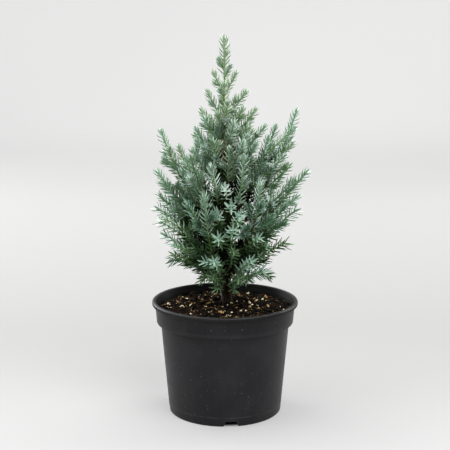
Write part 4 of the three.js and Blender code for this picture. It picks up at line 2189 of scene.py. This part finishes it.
@dataclass
class Crown:
    """Every shoot of the plant, with its needles."""

    trunk: Trunk
    shading: Shading = Shading()
    stem_rule: Branching = Branching(10.5, 0.05, 0.84, 23, 0.45)
    top_rule: Branching = Branching(10, 0.2, 0.8, 16, 0.4, 12, lean_out=40)
    lone_rule: Branching = Branching(13, 0.3, 0.7, 16, 0.35, 14, lean_out=44)
    star_rule: Branching = Branching(14, 0.25, 0.6, 12, 0.25, 20, lean_out=50)
    leader_rule: Branching = Branching(9, 0.05, 0.6, 24, 0.3, 12, lean_out=36)
    clothed_rule: Branching = Branching(7, 0.05, 0.6, 12, 0.3, 12, lean_out=36)
    twig_rule: Branching = Branching(8, 0.3, 0.75, 12, 0.5, 7, lean_out=42)
    front: float = 270
    star_half_angle: float = 36
    star_youth: float = 0.5
    star_thrift: float = 1.3
    bough_girth: float = 1.3
    stem_girth: float = 1.0
    top_girth: float = 0.8
    tip_girth: float = 0.4
    twig_girth: tuple[float, float] = (0.6, 0.32)
    twiglet_girth: tuple[float, float] = (0.42, 0.28)
    leader_girth: tuple[float, float] = (0.95, 0.45)
    leader_twig_girth: tuple[float, float] = (0.5, 0.3)
    brown_to: float = 0.5
    bare_on_trunk: float = 0.3
    bare_on_top: float = 0.06
    bare_on_bough: float = 0.02
    bare_on_droop: float = 0.62
    bare_twig: float = 0.1
    bare_twiglet: float = 0.05
    droop_below: float = 122
    high_from: float = 240
    low_vigour: tuple[float, float] = (0.98, 0.08)
    high_vigour: tuple[float, float] = (0.9, 0.05)
    twig_vigour: tuple[float, float] = (0.97, 0.06)
    twiglet_vigour: tuple[float, float] = (0.88, 0.06)
    leader_vigour: float = 0.92
    leader_thrift: float = 0.8
    leader_twig_vigour: float = 0.85
    least_vigour: float = 0.6
    vigour_reach: float = 40
    twiggy_from: float = 17
    twiglets_from: float = 0.25
    clothed_from: float = 243
    clothed_bend: float = 26
    clothed_vigour: float = 0.9
    clothed_twig_vigour: float = 0.88
    clothed_youth: float = 0.4
    clothed_thrift: float = 3
    tip_gap: float = 1.0
    whorl_gap: float = 2.9
    ripe_from: float = 5
    restraint: float = 0.4
    unripe_size: float = 0.74
    foot_spread: float = 62
    tip_spread: float = 20
    unevenness: float = 0.2
    seed: int = 5
    tuft: float = 5.5
    open_tuft: float = 0.4
    least_kept: float = 0.35
    line_step: float = 2.2
    stem_sides: int = 6
    off_trunk: float = 3
    lowest: float = 102.5
    shoots: dict[Quarter, list[Shoot]] = field(default_factory=lambda: {quarter: [] for quarter in Quarter})

    def grow(self) -> None:
        """Grows the shoots of every limb and of the leader."""
        limbs = [*LIMBS, *TopPairs().limbs(), *SHOOTS]
        for seed, limb in enumerate(limbs):
            self._grow_limb(limb, Dice(seed))
        self._grow_leader(Dice(len(limbs)))

    def _grow_leader(self, dice: Dice) -> None:
        """Grows the leading shoot and the needles on the upper trunk, each with its twigs.

        Args:
            dice: the random numbers.
        """
        trunk, fresh, girth = self.trunk, Shade.FRESH, self.leader_twig_girth
        leader = trunk.leader()
        heights = (self.clothed_from, trunk.top - self.clothed_bend, trunk.top)
        clothed = Course(*(trunk.axis(z) for z in heights))
        self._add(TOP, Shoot(
            leader, self.leader_girth, 0, self.leader_vigour, fresh, thrift=self.leader_thrift))
        self._add(TOP, Shoot(
            clothed, None, 0, self.clothed_vigour, fresh,
            youth=self.clothed_youth, thrift=self.clothed_thrift))
        for twig in self.leader_rule.twigs(leader, 0, dice):
            self._add(TOP, Shoot(twig, girth, 0, self.leader_twig_vigour, fresh))
        for twig in self.clothed_rule.twigs(clothed, 0, dice):
            self._add(TOP, Shoot(twig, girth, 0, self.clothed_twig_vigour, self._shade(twig, dice)))

    def _grow_limb(self, limb: Limb, dice: Dice) -> None:
        """Grows a limb's stem, its twigs and their twigs.

        Args:
            limb: the limb.
            dice: the random numbers.
        """
        slim, youth = limb.quarter is TOP, limb.growth.value.youth
        starry = abs(limb.azimuth - self.front) < self.star_half_angle and youth < self.star_youth
        thrift = self.star_thrift if starry else 1
        course, bare = self.trunk.course(limb), self._bare(limb)
        start = BOUGH_SHARE if limb.bough else self.trunk.radius(limb.root) / course.length
        stem = course.stretch(start, 1)
        vigour = dice.about(*(self.low_vigour if limb.tip < self.high_from else self.high_vigour))
        vigour *= min(1.0, self.least_vigour + limb.reach / self.vigour_reach)
        thick = self.top_girth if slim else self.bough_girth if limb.bough else self.stem_girth
        self._add(limb.quarter, Shoot(
            stem, (thick, self.tip_girth), bare, vigour, self._shade(stem, dice), not slim, youth, thrift))
        for twig in self._rule(limb, starry).twigs(stem, bare, dice):
            if not self._clear(twig):
                continue
            shade = self._shade(twig, dice)
            size = vigour * dice.about(*self.twig_vigour)
            grown = Shoot(twig, self.twig_girth, self.bare_twig, size, shade, False, youth, thrift)
            self._add(limb.quarter, grown)
            for twiglet in self.twig_rule.twigs(twig, self.twiglets_from, dice):
                if self._clear(twiglet) and twig.length > self.twiggy_from:
                    size = vigour * dice.about(*self.twiglet_vigour)
                    self._add(limb.quarter, replace(
                        grown, course=twiglet, girth=self.twiglet_girth, bare=self.bare_twiglet, vigour=size))

    def _bare(self, limb: Limb) -> float:
        """The share of a limb's stem that has no needles.

        Args:
            limb: the limb.

        Returns:
            The share, from the stem's foot.
        """
        if limb.quarter is TOP:
            return self.bare_on_top
        if limb.tip < self.droop_below:
            return self.bare_on_droop
        return self.bare_on_bough if limb.bough else self.bare_on_trunk

    def _rule(self, limb: Limb, starry: bool) -> Branching:
        """Chooses the rule by which a limb's stem branches.

        Args:
            limb: the limb.
            starry: whether it is seen end on, as a star.

        Returns:
            The rule.
        """
        if starry:
            return self.star_rule
        if limb.quarter is TOP:
            return self.top_rule
        lone = limb.growth.value.youth <= self.star_youth or not limb.name
        return self.lone_rule if lone else self.stem_rule

    def _clear(self, course: Course) -> bool:
        """Tells whether a shoot stays off the soil and the trunk.

        Args:
            course: the shoot's course.

        Returns:
            Whether it does.
        """
        tip, trunk = course.tip, self.trunk
        beside = tip.z < trunk.top and (tip - trunk.axis(tip.z)).length < trunk.radius(tip.z) + self.off_trunk
        return min(course.foot.z, course.elbow.z, tip.z) > self.lowest and not beside

    def _shade(self, course: Course, dice: Dice) -> Shade:
        """The shade that a spray is dealt."""
        return self.shading.spray(course.tip, dice.next())

    def _add(self, quarter: Quarter, shoot: Shoot) -> None:
        """Puts a shoot with its part of the crown, so much shorter that its last needles end at its tip."""
        tuft = self.tuft * shoot.vigour * (self.open_tuft + (1 - self.open_tuft) * shoot.youth)
        kept = max(self.least_kept, 1 - tuft / shoot.course.length)
        self.shoots[quarter].append(replace(shoot, course=shoot.course.stretch(0, kept)))

    def _ripeness(self, shoot: Shoot, to_tip: float) -> float:
        """How far a stretch of a shoot has opened, from 0 at a young tip to 1, by the distance to the tip."""
        return 1 - shoot.youth * math.exp(-to_tip / self.ripe_from)

    def _opening(self, shoot: Shoot, to_tip: float) -> float:
        """How wide its needles stand, from 0 to 1; a young shoot's never open all the way."""
        return self._ripeness(shoot, to_tip) * (1 - self.restraint * shoot.youth)

    def _whorls(self, shoot: Shoot) -> list[float]:
        """Spaces a shoot's whorls, which crowd towards the tip.

        Args:
            shoot: the shoot.

        Returns:
            Rising shares of its length.
        """
        length = shoot.course.length
        places = []
        to_tip = 0.0
        while to_tip < length * (1 - shoot.bare):
            places.append(1 - to_tip / length)
            opened = (self.whorl_gap - self.tip_gap) * self._opening(shoot, to_tip)
            to_tip += shoot.thrift * (self.tip_gap + opened)
        return places[::-1] if len(places) > 1 else [shoot.bare, 1.0]

    def _joints(self, shoot: Shoot) -> list[float]:
        """Evenly spaced shares of a shoot's length."""
        count = max(2, round(shoot.course.length / self.line_step))
        return [i / count for i in range(count + 1)]

    def _lines(self, name: str, shoots: Sequence[Shoot], needles: bool) -> bpy.types.Object:
        """Lays shoots out as lines.

        Args:
            name: the object's name.
            shoots: the shoots.
            needles: whether only the part with needles is wanted.

        Returns:
            A mesh of lines with the values that its group reads.
        """
        kinds = {"opening": "FLOAT", "vigour": "FLOAT", "girth": "FLOAT", "shade": "INT", "brown": "INT"}
        points: list[Vector] = []
        edges: list[tuple[int, int]] = []
        marks: list[tuple[float, ...]] = []
        shades = list(Shade)
        for shoot in shoots:
            thick, thin = shoot.girth or (0, 0)
            for i, share in enumerate(self._whorls(shoot) if needles else self._joints(shoot)):
                point, _ = shoot.course.at(share)
                to_tip = (1 - share) * shoot.course.length
                grown = (1 - self.unripe_size) * self._ripeness(shoot, to_tip)
                if i:
                    edges.append((len(points) - 1, len(points)))
                points.append(point)
                marks.append((
                    self._opening(shoot, to_tip),
                    shoot.vigour * (self.unripe_size + grown),
                    (thick + (thin - thick) * share) * MM,
                    shades.index(self.shading.needle(point, shoot.shade)),
                    int(shoot.brown and share < self.brown_to),
                ))
        made = mesh_object(name, points, [], edges)
        for (key, kind), values in zip(kinds.items(), zip(*marks)):
            write_attribute(made, key, kind, values)
        return made

    def needles(
        self, quarter: Quarter, tree: GeometryTree, item: bpy.types.Object,
        finishes: dict[str, bpy.types.Material],
    ) -> bpy.types.Object:
        """Sets out the needles of one part of the crown.

        Args:
            quarter: the part of the crown.
            tree: the group that sets them out.
            item: the needle.
            finishes: a material for each of the group's material inputs.

        Returns:
            The piece.
        """
        lines = self._lines("needle_lines", self.shoots[quarter], True)
        piece = tree.run(
            lines, f"needles_{quarter.value}", needle=item,
            foot_spread=math.radians(self.foot_spread), tip_spread=math.radians(self.tip_spread),
            unevenness=self.unevenness, seed=self.seed, **finishes)
        named = [limb.name for limb in (*LIMBS, *TopPairs().limbs()) if limb.quarter is quarter]
        if quarter is TOP:
            named.append("leader_tip")
        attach(piece, BODY)
        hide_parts(*(f"foliage_{name}" for name in named))
        return piece

    def twigs(self) -> bpy.types.Object:
        """Builds the stems of all the shoots.

        Returns:
            The piece.
        """
        shoots = [shoot for group in self.shoots.values() for shoot in group if shoot.girth]
        green = Plain("twig_green", (130, 156, 94)).material()
        brown = Plain("twig_brown", (100, 84, 64), 0.7).material()
        lines = self._lines("twig_lines", shoots, False)
        piece = twig_tree().run(lines, "twigs", sides=self.stem_sides, green=green, brown=brown)
        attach(piece, BODY)
        return piece

    def build(self) -> list[bpy.types.Object]:
        """Grows and builds the whole crown.

        Returns:
            The pieces.
        """
        self.grow()
        item = Needle().item()
        tree = needle_tree()
        finishes = {key: material for shade in Shade for key, material in shade.materials().items()}
        pieces = [self.needles(quarter, tree, item, finishes) for quarter in Quarter]
        bpy.data.objects.remove(item)
        return [*pieces, self.twigs()]


def main() -> None:
    """Builds the scene."""
    logging.basicConfig(level=logging.INFO, format="%(message)s", stream=sys.stdout)
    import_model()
    Studio().build()
    trunk = Trunk()
    total = 0
    for piece in (Pot().build(), *Soil().build(), *Wood(trunk).build(), *Crown(trunk).build()):
        piece.data.calc_loop_triangles()
        count = len(piece.data.loop_triangles)
        total += count
        LOG.info("%s: %d triangles, %d materials", piece.name, count, len(piece.data.materials))
    LOG.info("%d triangles in all", total)


if __name__ == "__main__":
    main()
